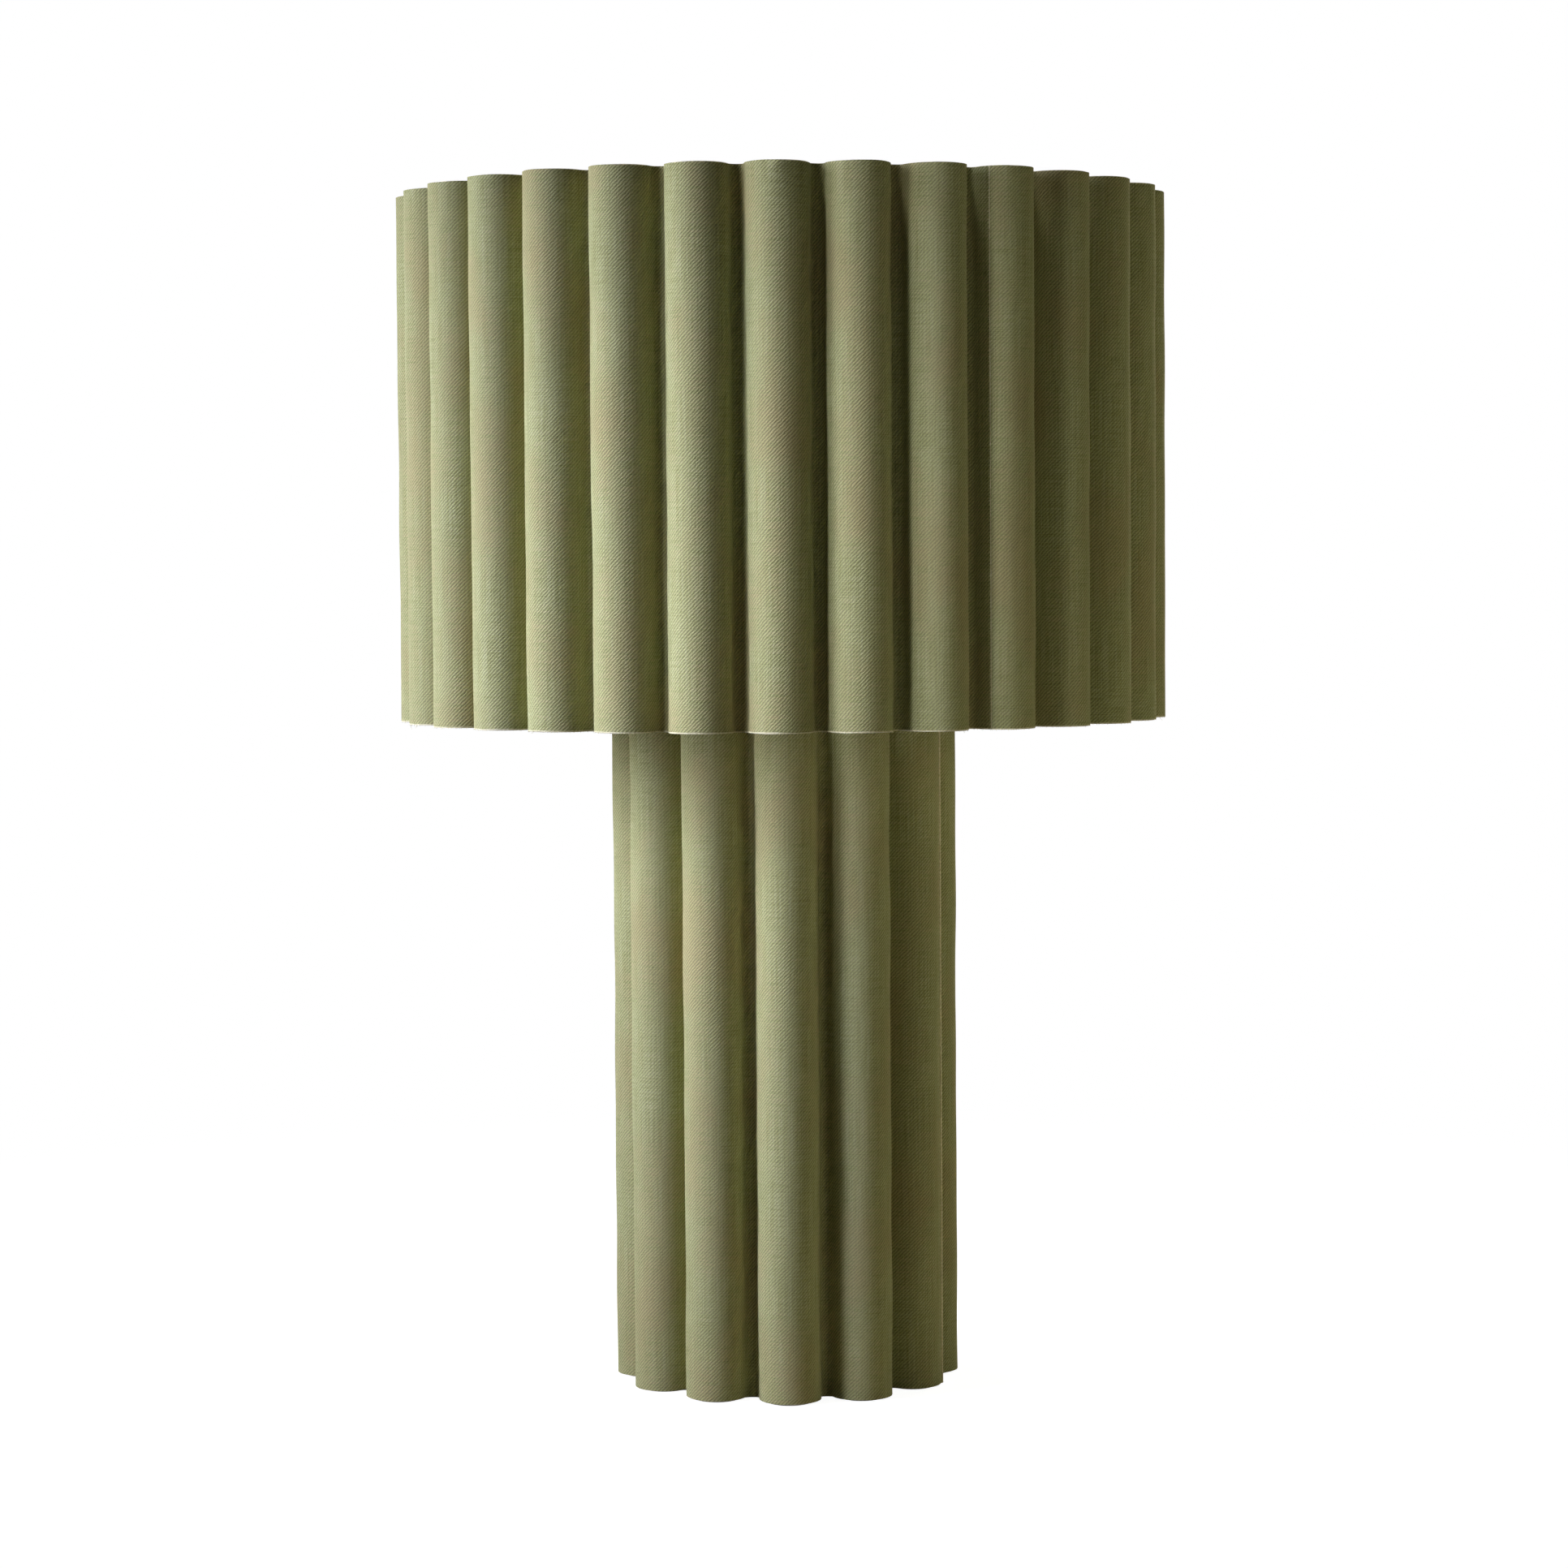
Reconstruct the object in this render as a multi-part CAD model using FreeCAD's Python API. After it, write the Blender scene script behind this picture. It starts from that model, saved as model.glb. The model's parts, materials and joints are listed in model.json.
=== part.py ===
"""Ribbed fabric table lamp: a fluted column and a fluted drum shade, with the harp, socket and bulb inside.

Millimetres. +Z is up, the origin is on the table under the lamp's axis, and the front faces -Y.
"""

import FreeCAD
import Part
import math
import os

Vector = FreeCAD.Vector
ORIGIN = Vector(0, 0, 0)
X_AXIS = Vector(1, 0, 0)
Y_AXIS = Vector(0, 1, 0)
Z_AXIS = Vector(0, 0, 1)
FRONT = -math.pi / 2

# Ribbed skins: cloth laminated to a stiff liner, formed into round ribs with tight valleys between them
SHADE_DIAMETER = 400.0
SHADE_HEIGHT = 272.0
SHADE_RIBS = 30
SHADE_TURN = -1.1
COLUMN_DIAMETER = 180.0
COLUMN_HEIGHT = 372.0
COLUMN_RIBS = 12
VALLEY_RADIUS = 3.8
FABRIC_THICKNESS = 0.6
LINER_THICKNESS = 1.2
GLUE_LINE = 0.05
FLOOR_CLEARANCE = 1.0

# Fits
FIT_GAP = 0.1
REST_GAP = 0.1

# Foot of the column
FELT_THICKNESS = 2.0
FELT_MARGIN = 2.0
BOTTOM_BOARD_THICKNESS = 22.0
TOP_BOARD_THICKNESS = 12.0
RECESS_GAP = 5.0
RECESS_DEPTH = 16.0
WEIGHT_GAP = 10.0
WEIGHT_THICKNESS = 16.0
WEIGHT_BEVEL = 3.0

# Threaded lamp pipe and what it clamps
PIPE_RADIUS = 5.15
PIPE_BORE_RADIUS = 3.5
PIPE_TAIL = 7.5
PIPE_GRIP = 8.0
NUT_ACROSS_FLATS = 17.0
NUT_HEIGHT = 6.0
WASHER_RADIUS = 14.0
WASHER_THICKNESS = 1.6
NECK_GAP = 1.2
NECK_HEIGHT = 16.0
NECK_WALL = 0.8
NECK_CORNER = 3.0

# Cord bushing at the back
BUSHING_BORE_RADIUS = 3.5
BUSHING_RADIUS = 5.0
BUSHING_FLANGE_RADIUS = 7.0
BUSHING_FLANGE = 2.0
BUSHING_BARREL = 10.0
BUSHING_HEIGHT = 11.0
CHANNEL_MARGIN = 0.6

# Harp: the wire loop that carries the shade
SADDLE_WIDTH = 16.0
SADDLE_THICKNESS = 1.6
SADDLE_BEND = 6.0
SADDLE_ARM_HEIGHT = 14.0
HARP_WIRE_RADIUS = 2.0
HARP_FOOT_WIDTH = 58.0
HARP_PIN_LENGTH = 10.0
HARP_BELLY_WIDTH = 112.0
HARP_RISE = 174.0
HARP_LEG = 34.0
HARP_SWEEP_RADIUS = 30.0
HARP_CROWN_RUN = 16.0
FERRULE_LENGTH = 18.0
FERRULE_WALL = 1.8
FERRULE_TAPER = 0.8
FERRULE_GAP = 0.25
STUD_BARREL_RADIUS = 5.5
STUD_BARREL_HEIGHT = 12.0
STUD_SHOULDER_RADIUS = 9.0
STUD_SHOULDER = 2.0
STUD_RADIUS = 3.1
STUD_LENGTH = 7.4

# Finial
FINIAL_BASE_RADIUS = 5.0
FINIAL_FLANGE_RADIUS = 6.5
FINIAL_FLANGE = 1.5
FINIAL_END_GAP = 1.0
FINIAL_BALL_RADIUS = 7.5
FINIAL_NECK_RADIUS = 3.6

# Shade frame
RING_WIRE_RADIUS = 2.0
RING_INSET = 3.5
SPIDER_DROP = 25.9
SPIDER_ARMS = 3
SPIDER_WIRE_RADIUS = 1.6
SPIDER_BEND = 8.0
SPIDER_HUB_RADIUS = 13.0
SPIDER_HUB_THICKNESS = 1.8
SPIDER_HOLE_GAP = 0.5
SPIDER_START = 8.5
WELD = 0.3

# Lamp socket with its turn switch
SOCKET_SHELL_WALL = 0.5
SOCKET_SHELL_HEIGHT = 50.0
SOCKET_BEAD = 1.0
SOCKET_CAP_WALL = 0.8
SOCKET_CAP_HUB_RADIUS = 7.5
SOCKET_CAP_HUB = 6.0
SOCKET_CAP_RIM = 7.0
SOCKET_SLEEVE_WALL = 0.8
SOCKET_SLEEVE_GAP = 0.7
SOCKET_BODY_HEIGHT = 22.0
SOCKET_BODY_FLAT = 3.4
SCREW_SHELL_WALL = 0.5
SCREW_SHELL_HEIGHT = 25.0
CONTACT_RADIUS = 4.0
CONTACT_HEIGHT = 2.2
TERMINAL_HEAD_RADIUS = 3.0
TERMINAL_HEAD = 1.8
TERMINAL_SHANK_RADIUS = 1.5
TERMINAL_DEPTH = 5.0
SWITCH_DEPTH = 5.0
SWITCH_SHAFT_RADIUS = 1.5
SWITCH_SHAFT_HOLD = 10.0
SWITCH_OPENING_RADIUS = 4.0
KNOB_STANDOFF = 3.0
KNOB_LENGTH = 20.0
KNOB_RADIUS = 5.4
KNOB_TAPER = 1.2
KNOB_ROUND = 1.5
KNOB_GROOVES = 10
KNOB_GROOVE_RADIUS = 0.7
KNOB_SOCKET_DEPTH = 8.0

# Bulb
BULB_RADIUS = 30.0
BULB_CAP_RADIUS = 13.2
BULB_CAP_WALL = 0.5
BULB_CAP_HEIGHT = 17.0
BULB_TIP_RADIUS = 4.5
BULB_TIP_HEIGHT = 1.6
BULB_INSULATOR_HEIGHT = 5.0
BULB_NECK_GAP = 0.4
BULB_NECK_LENGTH = 8.0
BULB_SWEEP_RADIUS = 40.0
BULB_WALL = 1.0

# Levels that follow from the sizes above
WALL = FABRIC_THICKNESS + GLUE_LINE + LINER_THICKNESS
PIPE_HOLE_RADIUS = PIPE_RADIUS + FIT_GAP
RECESS_RADIUS = WASHER_RADIUS + RECESS_GAP
NECK_RADIUS = WASHER_RADIUS + NECK_GAP + NECK_WALL
BOARD_TOP = FELT_THICKNESS + BOTTOM_BOARD_THICKNESS
WEIGHT_TOP = BOARD_TOP + WEIGHT_THICKNESS
RECESS_TOP = FELT_THICKNESS + RECESS_DEPTH
COVER_BOTTOM = COLUMN_HEIGHT - FABRIC_THICKNESS
NECK_TOP = COLUMN_HEIGHT + NECK_HEIGHT
SADDLE_TOP = NECK_TOP + SADDLE_THICKNESS
ARM_TOP = NECK_TOP + SADDLE_ARM_HEIGHT
PIN_TOP = ARM_TOP + HARP_PIN_LENGTH
CROWN = PIN_TOP + HARP_RISE
HARP_SHOULDER_RADIUS = (HARP_BELLY_WIDTH - HARP_CROWN_RUN) / 2
SHOULDER_TOP = CROWN + STUD_BARREL_HEIGHT / 2 + STUD_SHOULDER
HUB_BOTTOM = SHOULDER_TOP + REST_GAP
HUB_TOP = HUB_BOTTOM + SPIDER_HUB_THICKNESS
FINIAL_SEAT = HUB_TOP + REST_GAP
FINIAL_BASE_TOP = SHOULDER_TOP + STUD_LENGTH + FINIAL_END_GAP
OVERALL_HEIGHT = HUB_BOTTOM + SPIDER_DROP
SHADE_BOTTOM = OVERALL_HEIGHT - SHADE_HEIGHT
SCREW_SHELL_BORE = BULB_CAP_RADIUS + 2 * FIT_GAP
SCREW_SHELL_RADIUS = SCREW_SHELL_BORE + SCREW_SHELL_WALL
SLEEVE_BORE = SCREW_SHELL_RADIUS + SOCKET_SLEEVE_GAP
SLEEVE_RADIUS = SLEEVE_BORE + SOCKET_SLEEVE_WALL
SOCKET_RADIUS = SLEEVE_RADIUS + FIT_GAP + SOCKET_SHELL_WALL
CAP_HUB_TOP = SADDLE_TOP + SOCKET_CAP_HUB
CAP_RADIUS = SOCKET_RADIUS + FIT_GAP + SOCKET_CAP_WALL
CAP_BOWL_RADIUS = CAP_RADIUS - SOCKET_CAP_HUB_RADIUS
CAP_RIM_BOTTOM = CAP_HUB_TOP + CAP_BOWL_RADIUS
CAP_RIM_TOP = CAP_RIM_BOTTOM + SOCKET_CAP_RIM
SHELL_TOP = CAP_RIM_BOTTOM + SOCKET_SHELL_HEIGHT
BODY_RADIUS = SLEEVE_BORE - FIT_GAP
BODY_TOP = CAP_RIM_BOTTOM + SOCKET_BODY_HEIGHT
SCREW_SHELL_TOP = BODY_TOP + SCREW_SHELL_HEIGHT
SWITCH_LEVEL = BODY_TOP - SWITCH_DEPTH
TIP_BOTTOM = BODY_TOP + CONTACT_HEIGHT + REST_GAP
TIP_TOP = TIP_BOTTOM + BULB_TIP_HEIGHT
CAP_CONE_TOP = TIP_TOP + BULB_INSULATOR_HEIGHT
BULB_CAP_TOP = CAP_CONE_TOP + BULB_CAP_HEIGHT
BULB_NECK_RADIUS = BULB_CAP_RADIUS - BULB_CAP_WALL - BULB_NECK_GAP


def polar(radius, angle, z=0.0):
    """A point at that radius and angle round the lamp's axis."""
    return Vector(radius * math.cos(angle), radius * math.sin(angle), z)


def drum(radius, bottom, top):
    """A round solid on the lamp's axis."""
    return Part.makeCylinder(radius, top - bottom, Vector(0, 0, bottom))


def tube(radius, bore_radius, bottom, top):
    """A round solid on the lamp's axis with a bore through it."""
    return drum(radius, bottom, top).cut(drum(bore_radius, bottom, top))


def turned(start, *steps):
    """A solid turned about the lamp's axis from an outline of (radius, height) points.

    A step is the next point, or a pair of points: one on an arc and the arc's end.
    """

    def point(pair):
        return Vector(pair[0], 0, pair[1])

    edges = []
    here = point(start)
    for step in steps + (start,):
        if isinstance(step[0], tuple):
            there = point(step[1])
            edges.append(Part.Arc(here, point(step[0]), there).toShape())
        else:
            there = point(step)
            edges.append(Part.LineSegment(here, there).toShape())
        here = there
    return Part.Face(Part.Wire(edges)).revolve(ORIGIN, Z_AXIS, 360)


def on_circle(centre, radius, degrees):
    """The (radius, height) point of a circle in the turning plane, at an angle from the outward direction."""
    angle = math.radians(degrees)
    return (centre[0] + radius * math.cos(angle), centre[1] + radius * math.sin(angle))


def bent_path(start, heading, steps):
    """A wire in the XZ plane from straight runs and tangent bends.

    heading is in degrees from +X towards +Z. A step is a run's length, or (radius, degrees) for a bend,
    which turns towards +Z from +X when degrees is positive.
    """
    edges = []
    here = Vector(start[0], 0, start[1])
    for step in steps:
        along = math.radians(heading)
        if isinstance(step, tuple):
            radius, degrees = step
            side = math.copysign(1, degrees)
            to_centre = Vector(-side * math.sin(along), 0, side * math.cos(along)) * radius
            centre = here + to_centre

            def swung(share):
                turn = FreeCAD.Rotation(Y_AXIS, -degrees * share)
                return centre - turn.multVec(to_centre)

            edges.append(Part.Arc(here, swung(0.5), swung(1.0)).toShape())
            here = swung(1.0)
            heading += degrees
        else:
            there = here + Vector(math.cos(along), 0, math.sin(along)) * step
            edges.append(Part.LineSegment(here, there).toShape())
            here = there
    return Part.Wire(edges)


def round_wire(path, radius, direction):
    """A round wire along a path that starts in that direction."""
    start = path.OrderedVertexes[0].Point
    section = Part.Wire(Part.Circle(start, direction, radius).toShape())
    return path.makePipeShell([section], True, False)


def hex_nut(bottom):
    """A hexagon nut on the lamp pipe."""
    corner_radius = NUT_ACROSS_FLATS / 2 / math.cos(math.pi / 6)
    corners = [polar(corner_radius, i * math.pi / 3, bottom) for i in range(7)]
    blank = Part.Face(Part.makePolygon(corners)).extrude(Z_AXIS * NUT_HEIGHT)
    return blank.cut(drum(PIPE_HOLE_RADIUS, bottom, bottom + NUT_HEIGHT))


def washer(bottom):
    """A round washer on the lamp pipe."""
    return tube(WASHER_RADIUS, PIPE_HOLE_RADIUS, bottom, bottom + WASHER_THICKNESS)


def rib_sizes(diameter, ribs):
    """The crest radius of a rib, and the radius of the circle on which rib and valley centres stand."""
    half_chord = math.sin(math.pi / ribs / 2)
    rib_radius = (diameter * half_chord - VALLEY_RADIUS) / (1 + 2 * half_chord)
    return rib_radius, diameter / 2 - rib_radius


def valley_bore(diameter, ribs):
    """The radius that stays free inside a ribbed skin and its liner."""
    return rib_sizes(diameter, ribs)[1] - VALLEY_RADIUS - WALL


def ribbed_wire(diameter, ribs, inset, turn=0.0):
    """The plan of a ribbed skin, offset inwards by inset: round ribs and valleys as tangent arcs."""
    rib_radius, pitch_radius = rib_sizes(diameter, ribs)
    crest_arc = rib_radius - inset
    valley_arc = VALLEY_RADIUS + inset
    half_step = math.pi / ribs

    def tangent_point(rib_angle, side):
        centre = polar(pitch_radius, rib_angle)
        towards = polar(pitch_radius, rib_angle + side * half_step) - centre
        return centre + towards.normalize() * crest_arc

    edges = []
    for i in range(ribs):
        rib_angle = FRONT + math.radians(turn) + 2 * i * half_step
        start = tangent_point(rib_angle, -1)
        end = tangent_point(rib_angle, 1)
        next_start = tangent_point(rib_angle + 2 * half_step, -1)
        crest = polar(pitch_radius + crest_arc, rib_angle)
        valley = polar(pitch_radius - valley_arc, rib_angle + half_step)
        edges.append(Part.Arc(start, crest, end).toShape())
        edges.append(Part.Arc(end, valley, next_start).toShape())
    return Part.Wire(edges)


def ribbed_plate(diameter, ribs, inset, bottom, top):
    """A solid plate with the plan of a ribbed skin."""
    face = Part.Face(ribbed_wire(diameter, ribs, inset))
    face.translate(Z_AXIS * bottom)
    return face.extrude(Z_AXIS * (top - bottom))


def ribbed_skin(diameter, ribs, inset, thickness, bottom, top, turn=0.0):
    """A ribbed sheet that stands on edge all the way round the lamp's axis."""
    outer = ribbed_wire(diameter, ribs, inset, turn)
    inner = ribbed_wire(diameter, ribs, inset + thickness, turn)
    face = Part.makeFace([outer, inner], "Part::FaceMakerBullseye")
    face.translate(Z_AXIS * bottom)
    return face.extrude(Z_AXIS * (top - bottom))


def at_back_rib(shape):
    """Turns a shape that points along +Y to the column's rib at the back."""
    steps_round = COLUMN_RIBS // 2
    shape.rotate(ORIGIN, Z_AXIS, steps_round * 360 / COLUMN_RIBS - 180)
    return shape


def back_hole():
    """The cutter for the cord bushing's hole through the back of the column."""
    start = Vector(0, COLUMN_DIAMETER / 2 - BUSHING_BARREL, BUSHING_HEIGHT)
    hole = Part.makeCylinder(BUSHING_RADIUS + FIT_GAP, 2 * BUSHING_BARREL, start, Y_AXIS)
    return at_back_rib(hole)


def column_fabric():
    skin = ribbed_skin(
        COLUMN_DIAMETER, COLUMN_RIBS, 0, FABRIC_THICKNESS, FLOOR_CLEARANCE, COLUMN_HEIGHT
    )
    return skin.cut(back_hole())


def column_liner():
    inset = FABRIC_THICKNESS + GLUE_LINE
    skin = ribbed_skin(
        COLUMN_DIAMETER, COLUMN_RIBS, inset, LINER_THICKNESS, FLOOR_CLEARANCE, COLUMN_HEIGHT
    )
    return skin.cut(back_hole())


def bottom_board():
    """Scalloped former in the foot, with a recess for the pipe's nut and a channel for the cord."""
    board = ribbed_plate(
        COLUMN_DIAMETER, COLUMN_RIBS, WALL + FIT_GAP, FELT_THICKNESS, BOARD_TOP
    )
    channel_half = BUSHING_RADIUS + CHANNEL_MARGIN
    channel_top = BUSHING_HEIGHT + channel_half
    channel = Part.makeBox(
        2 * channel_half, COLUMN_DIAMETER, channel_top, Vector(-channel_half, 0, 0)
    )
    board = board.cut(drum(RECESS_RADIUS, FELT_THICKNESS, RECESS_TOP))
    board = board.cut(drum(PIPE_HOLE_RADIUS, FELT_THICKNESS, BOARD_TOP))
    return board.cut(at_back_rib(channel))


def felt_pad():
    inset = WALL + FELT_MARGIN
    return ribbed_plate(COLUMN_DIAMETER, COLUMN_RIBS, inset, 0, FELT_THICKNESS)


def base_weight():
    """Cast disc on the bottom board, with a bevelled top edge."""
    radius = valley_bore(COLUMN_DIAMETER, COLUMN_RIBS) - WEIGHT_GAP
    return turned(
        (PIPE_HOLE_RADIUS, BOARD_TOP),
        (radius, BOARD_TOP),
        (radius, WEIGHT_TOP - WEIGHT_BEVEL),
        (radius - WEIGHT_BEVEL, WEIGHT_TOP),
        (PIPE_HOLE_RADIUS, WEIGHT_TOP),
    )


def top_board():
    bottom = COVER_BOTTOM - TOP_BOARD_THICKNESS
    board = ribbed_plate(
        COLUMN_DIAMETER, COLUMN_RIBS, WALL + FIT_GAP, bottom, COVER_BOTTOM
    )
    return board.cut(drum(PIPE_HOLE_RADIUS, bottom, COVER_BOTTOM))


def top_cover():
    """Cloth disc that covers the top board, flush with the top of the skin."""
    cover = ribbed_plate(
        COLUMN_DIAMETER, COLUMN_RIBS, WALL + FIT_GAP, COVER_BOTTOM, COLUMN_HEIGHT
    )
    return cover.cut(drum(PIPE_HOLE_RADIUS, COVER_BOTTOM, COLUMN_HEIGHT))


def lamp_pipe():
    """Threaded tube from the foot's recess to the hub of the socket cap."""
    return tube(PIPE_RADIUS, PIPE_BORE_RADIUS, FELT_THICKNESS + PIPE_TAIL, SADDLE_TOP + PIPE_GRIP)


def neck_cover():
    """Spun cup over the top nut, with a rounded top corner."""
    inner_radius = NECK_RADIUS - NECK_WALL
    inner_top = NECK_TOP - NECK_WALL
    corner = (NECK_RADIUS - NECK_CORNER, NECK_TOP - NECK_CORNER)
    inner_corner = NECK_CORNER - NECK_WALL
    return turned(
        (inner_radius, COLUMN_HEIGHT),
        (NECK_RADIUS, COLUMN_HEIGHT),
        (NECK_RADIUS, corner[1]),
        (on_circle(corner, NECK_CORNER, 45), (corner[0], NECK_TOP)),
        (PIPE_HOLE_RADIUS, NECK_TOP),
        (PIPE_HOLE_RADIUS, inner_top),
        (corner[0], inner_top),
        (on_circle(corner, inner_corner, 45), (inner_radius, corner[1])),
    )


def cord_bushing():
    """Flanged sleeve in the back of the column, where the cord would come out."""
    flange_start = COLUMN_DIAMETER / 2 + FIT_GAP
    flange_end = flange_start + BUSHING_FLANGE
    rounding = BUSHING_FLANGE / 2
    sleeve = turned(
        (BUSHING_BORE_RADIUS, flange_start - BUSHING_BARREL),
        (BUSHING_RADIUS, flange_start - BUSHING_BARREL),
        (BUSHING_RADIUS, flange_start),
        (BUSHING_FLANGE_RADIUS, flange_start),
        (BUSHING_FLANGE_RADIUS, flange_end - rounding),
        (
            on_circle((BUSHING_FLANGE_RADIUS - rounding, flange_end - rounding), rounding, 45),
            (BUSHING_FLANGE_RADIUS - rounding, flange_end),
        ),
        (BUSHING_BORE_RADIUS, flange_end),
    )
    sleeve.rotate(ORIGIN, X_AXIS, -90)
    sleeve.translate(Z_AXIS * BUSHING_HEIGHT)
    return at_back_rib(sleeve)


def harp_saddle():
    """Flat bar bent up at both ends, with a round pin on each arm for the harp's legs."""
    middle = NECK_TOP + SADDLE_THICKNESS / 2
    arm_x = HARP_FOOT_WIDTH / 2
    run = arm_x - SADDLE_BEND
    rise = ARM_TOP - middle - SADDLE_BEND
    path = bent_path(
        (-arm_x, ARM_TOP), -90, [rise, (SADDLE_BEND, 90), 2 * run, (SADDLE_BEND, 90), rise]
    )
    half_bar = SADDLE_THICKNESS / 2
    half_width = SADDLE_WIDTH / 2
    section = Part.makePolygon(
        [
            Vector(-arm_x + side * half_bar, end * half_width, ARM_TOP)
            for side, end in ((-1, -1), (1, -1), (1, 1), (-1, 1), (-1, -1))
        ]
    )
    saddle = path.makePipeShell([section], True, False)
    saddle = saddle.cut(drum(PIPE_HOLE_RADIUS, NECK_TOP, SADDLE_TOP))
    for side in (-1, 1):
        foot = Vector(side * arm_x, 0, ARM_TOP - HARP_WIRE_RADIUS)
        pin = Part.makeCylinder(HARP_WIRE_RADIUS, PIN_TOP - foot.z, foot)
        saddle = saddle.fuse(pin)
    return saddle.removeSplitter()


def harp_loop():
    """Wire loop: straight legs, a sweep out to the belly on each side, and round shoulders to the crown."""
    foot_x = HARP_FOOT_WIDTH / 2
    belly_x = HARP_BELLY_WIDTH / 2
    sweep = math.degrees(math.acos(1 - (belly_x - foot_x) / (2 * HARP_SWEEP_RADIUS)))
    sweep_rise = 2 * HARP_SWEEP_RADIUS * math.sin(math.radians(sweep))
    foot = PIN_TOP + REST_GAP
    side_run = CROWN - HARP_SHOULDER_RADIUS - sweep_rise - HARP_LEG - foot
    out = [(HARP_SWEEP_RADIUS, sweep), (HARP_SWEEP_RADIUS, -sweep)]
    back = [(HARP_SWEEP_RADIUS, -sweep), (HARP_SWEEP_RADIUS, sweep)]
    shoulder = (HARP_SHOULDER_RADIUS, -90)
    steps = [HARP_LEG] + out + [side_run, shoulder, HARP_CROWN_RUN, shoulder, side_run] + back + [HARP_LEG]
    return round_wire(bent_path((-foot_x, foot), 90, steps), HARP_WIRE_RADIUS, Z_AXIS)


def harp_ferrule(side):
    """Tapered sleeve that slides down over a leg's joint with the saddle."""
    bore = HARP_WIRE_RADIUS + FERRULE_GAP
    bottom = ARM_TOP + REST_GAP
    sleeve = turned(
        (bore, bottom),
        (bore + FERRULE_WALL, bottom),
        (bore + FERRULE_WALL, bottom + FERRULE_LENGTH / 3),
        (bore + FERRULE_WALL - FERRULE_TAPER, bottom + FERRULE_LENGTH),
        (bore, bottom + FERRULE_LENGTH),
    )
    sleeve.translate(X_AXIS * (side * HARP_FOOT_WIDTH / 2))
    return sleeve


def harp_stud():
    """Turned post on the crown of the harp: a barrel round the wire, a shoulder and a stud for the finial."""
    barrel_bottom = CROWN - STUD_BARREL_HEIGHT / 2
    barrel_top = CROWN + STUD_BARREL_HEIGHT / 2
    post = turned(
        (0, barrel_bottom),
        (STUD_BARREL_RADIUS, barrel_bottom),
        (STUD_BARREL_RADIUS, barrel_top),
        (STUD_SHOULDER_RADIUS, barrel_top),
        (STUD_SHOULDER_RADIUS, SHOULDER_TOP),
        (STUD_RADIUS, SHOULDER_TOP),
        (STUD_RADIUS, SHOULDER_TOP + STUD_LENGTH),
        (0, SHOULDER_TOP + STUD_LENGTH),
    )
    start = Vector(-STUD_SHOULDER_RADIUS, 0, CROWN)
    hole = Part.makeCylinder(HARP_WIRE_RADIUS + FIT_GAP, 2 * STUD_SHOULDER_RADIUS, start, X_AXIS)
    return post.cut(hole)


def finial_base():
    """Threaded collar of the finial, which bears on the shade's hub."""
    bore = STUD_RADIUS + FIT_GAP
    return turned(
        (bore, FINIAL_SEAT),
        (FINIAL_FLANGE_RADIUS, FINIAL_SEAT),
        (FINIAL_FLANGE_RADIUS, FINIAL_SEAT + FINIAL_FLANGE),
        (FINIAL_BASE_RADIUS, FINIAL_SEAT + FINIAL_FLANGE),
        (FINIAL_BASE_RADIUS, FINIAL_BASE_TOP),
        (bore, FINIAL_BASE_TOP),
    )


def finial_knob():
    """Turned ball with a flat foot, on top of the collar."""
    half_foot = math.asin(FINIAL_NECK_RADIUS / FINIAL_BALL_RADIUS)
    centre = (0, FINIAL_BASE_TOP + FINIAL_BALL_RADIUS * math.cos(half_foot))
    return turned(
        (0, FINIAL_BASE_TOP),
        (FINIAL_NECK_RADIUS, FINIAL_BASE_TOP),
        (on_circle(centre, FINIAL_BALL_RADIUS, 0), (0, centre[1] + FINIAL_BALL_RADIUS)),
    )


def shade_fabric():
    return ribbed_skin(
        SHADE_DIAMETER, SHADE_RIBS, 0, FABRIC_THICKNESS, SHADE_BOTTOM, OVERALL_HEIGHT, SHADE_TURN
    )


def shade_liner():
    inset = FABRIC_THICKNESS + GLUE_LINE
    return ribbed_skin(
        SHADE_DIAMETER, SHADE_RIBS, inset, LINER_THICKNESS, SHADE_BOTTOM, OVERALL_HEIGHT, SHADE_TURN
    )


def ring_radius():
    """The radius to the middle of the shade's ring wires, which lie against the liner's valleys."""
    return valley_bore(SHADE_DIAMETER, SHADE_RIBS) - FIT_GAP - RING_WIRE_RADIUS


def shade_ring(level):
    return Part.makeTorus(ring_radius(), RING_WIRE_RADIUS, Vector(0, 0, level))


def shade_spider():
    """Hub washer with bent wire arms that rise to the top ring."""
    hub = tube(SPIDER_HUB_RADIUS, STUD_RADIUS + SPIDER_HOLE_GAP, HUB_BOTTOM, HUB_TOP)
    level = HUB_TOP + SPIDER_WIRE_RADIUS - WELD
    end_radius = ring_radius() - RING_WIRE_RADIUS - SPIDER_WIRE_RADIUS + WELD
    run = end_radius - SPIDER_BEND - SPIDER_START
    rise = OVERALL_HEIGHT - RING_INSET - level - SPIDER_BEND
    path = bent_path((SPIDER_START, level), 0, [run, (SPIDER_BEND, 90), rise])
    arm = round_wire(path, SPIDER_WIRE_RADIUS, X_AXIS)
    spider = hub
    for i in range(SPIDER_ARMS):
        turned_arm = arm.copy()
        turned_arm.rotate(ORIGIN, Z_AXIS, 90 + i * 360 / SPIDER_ARMS)
        spider = spider.fuse(turned_arm)
    return spider.removeSplitter()


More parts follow.
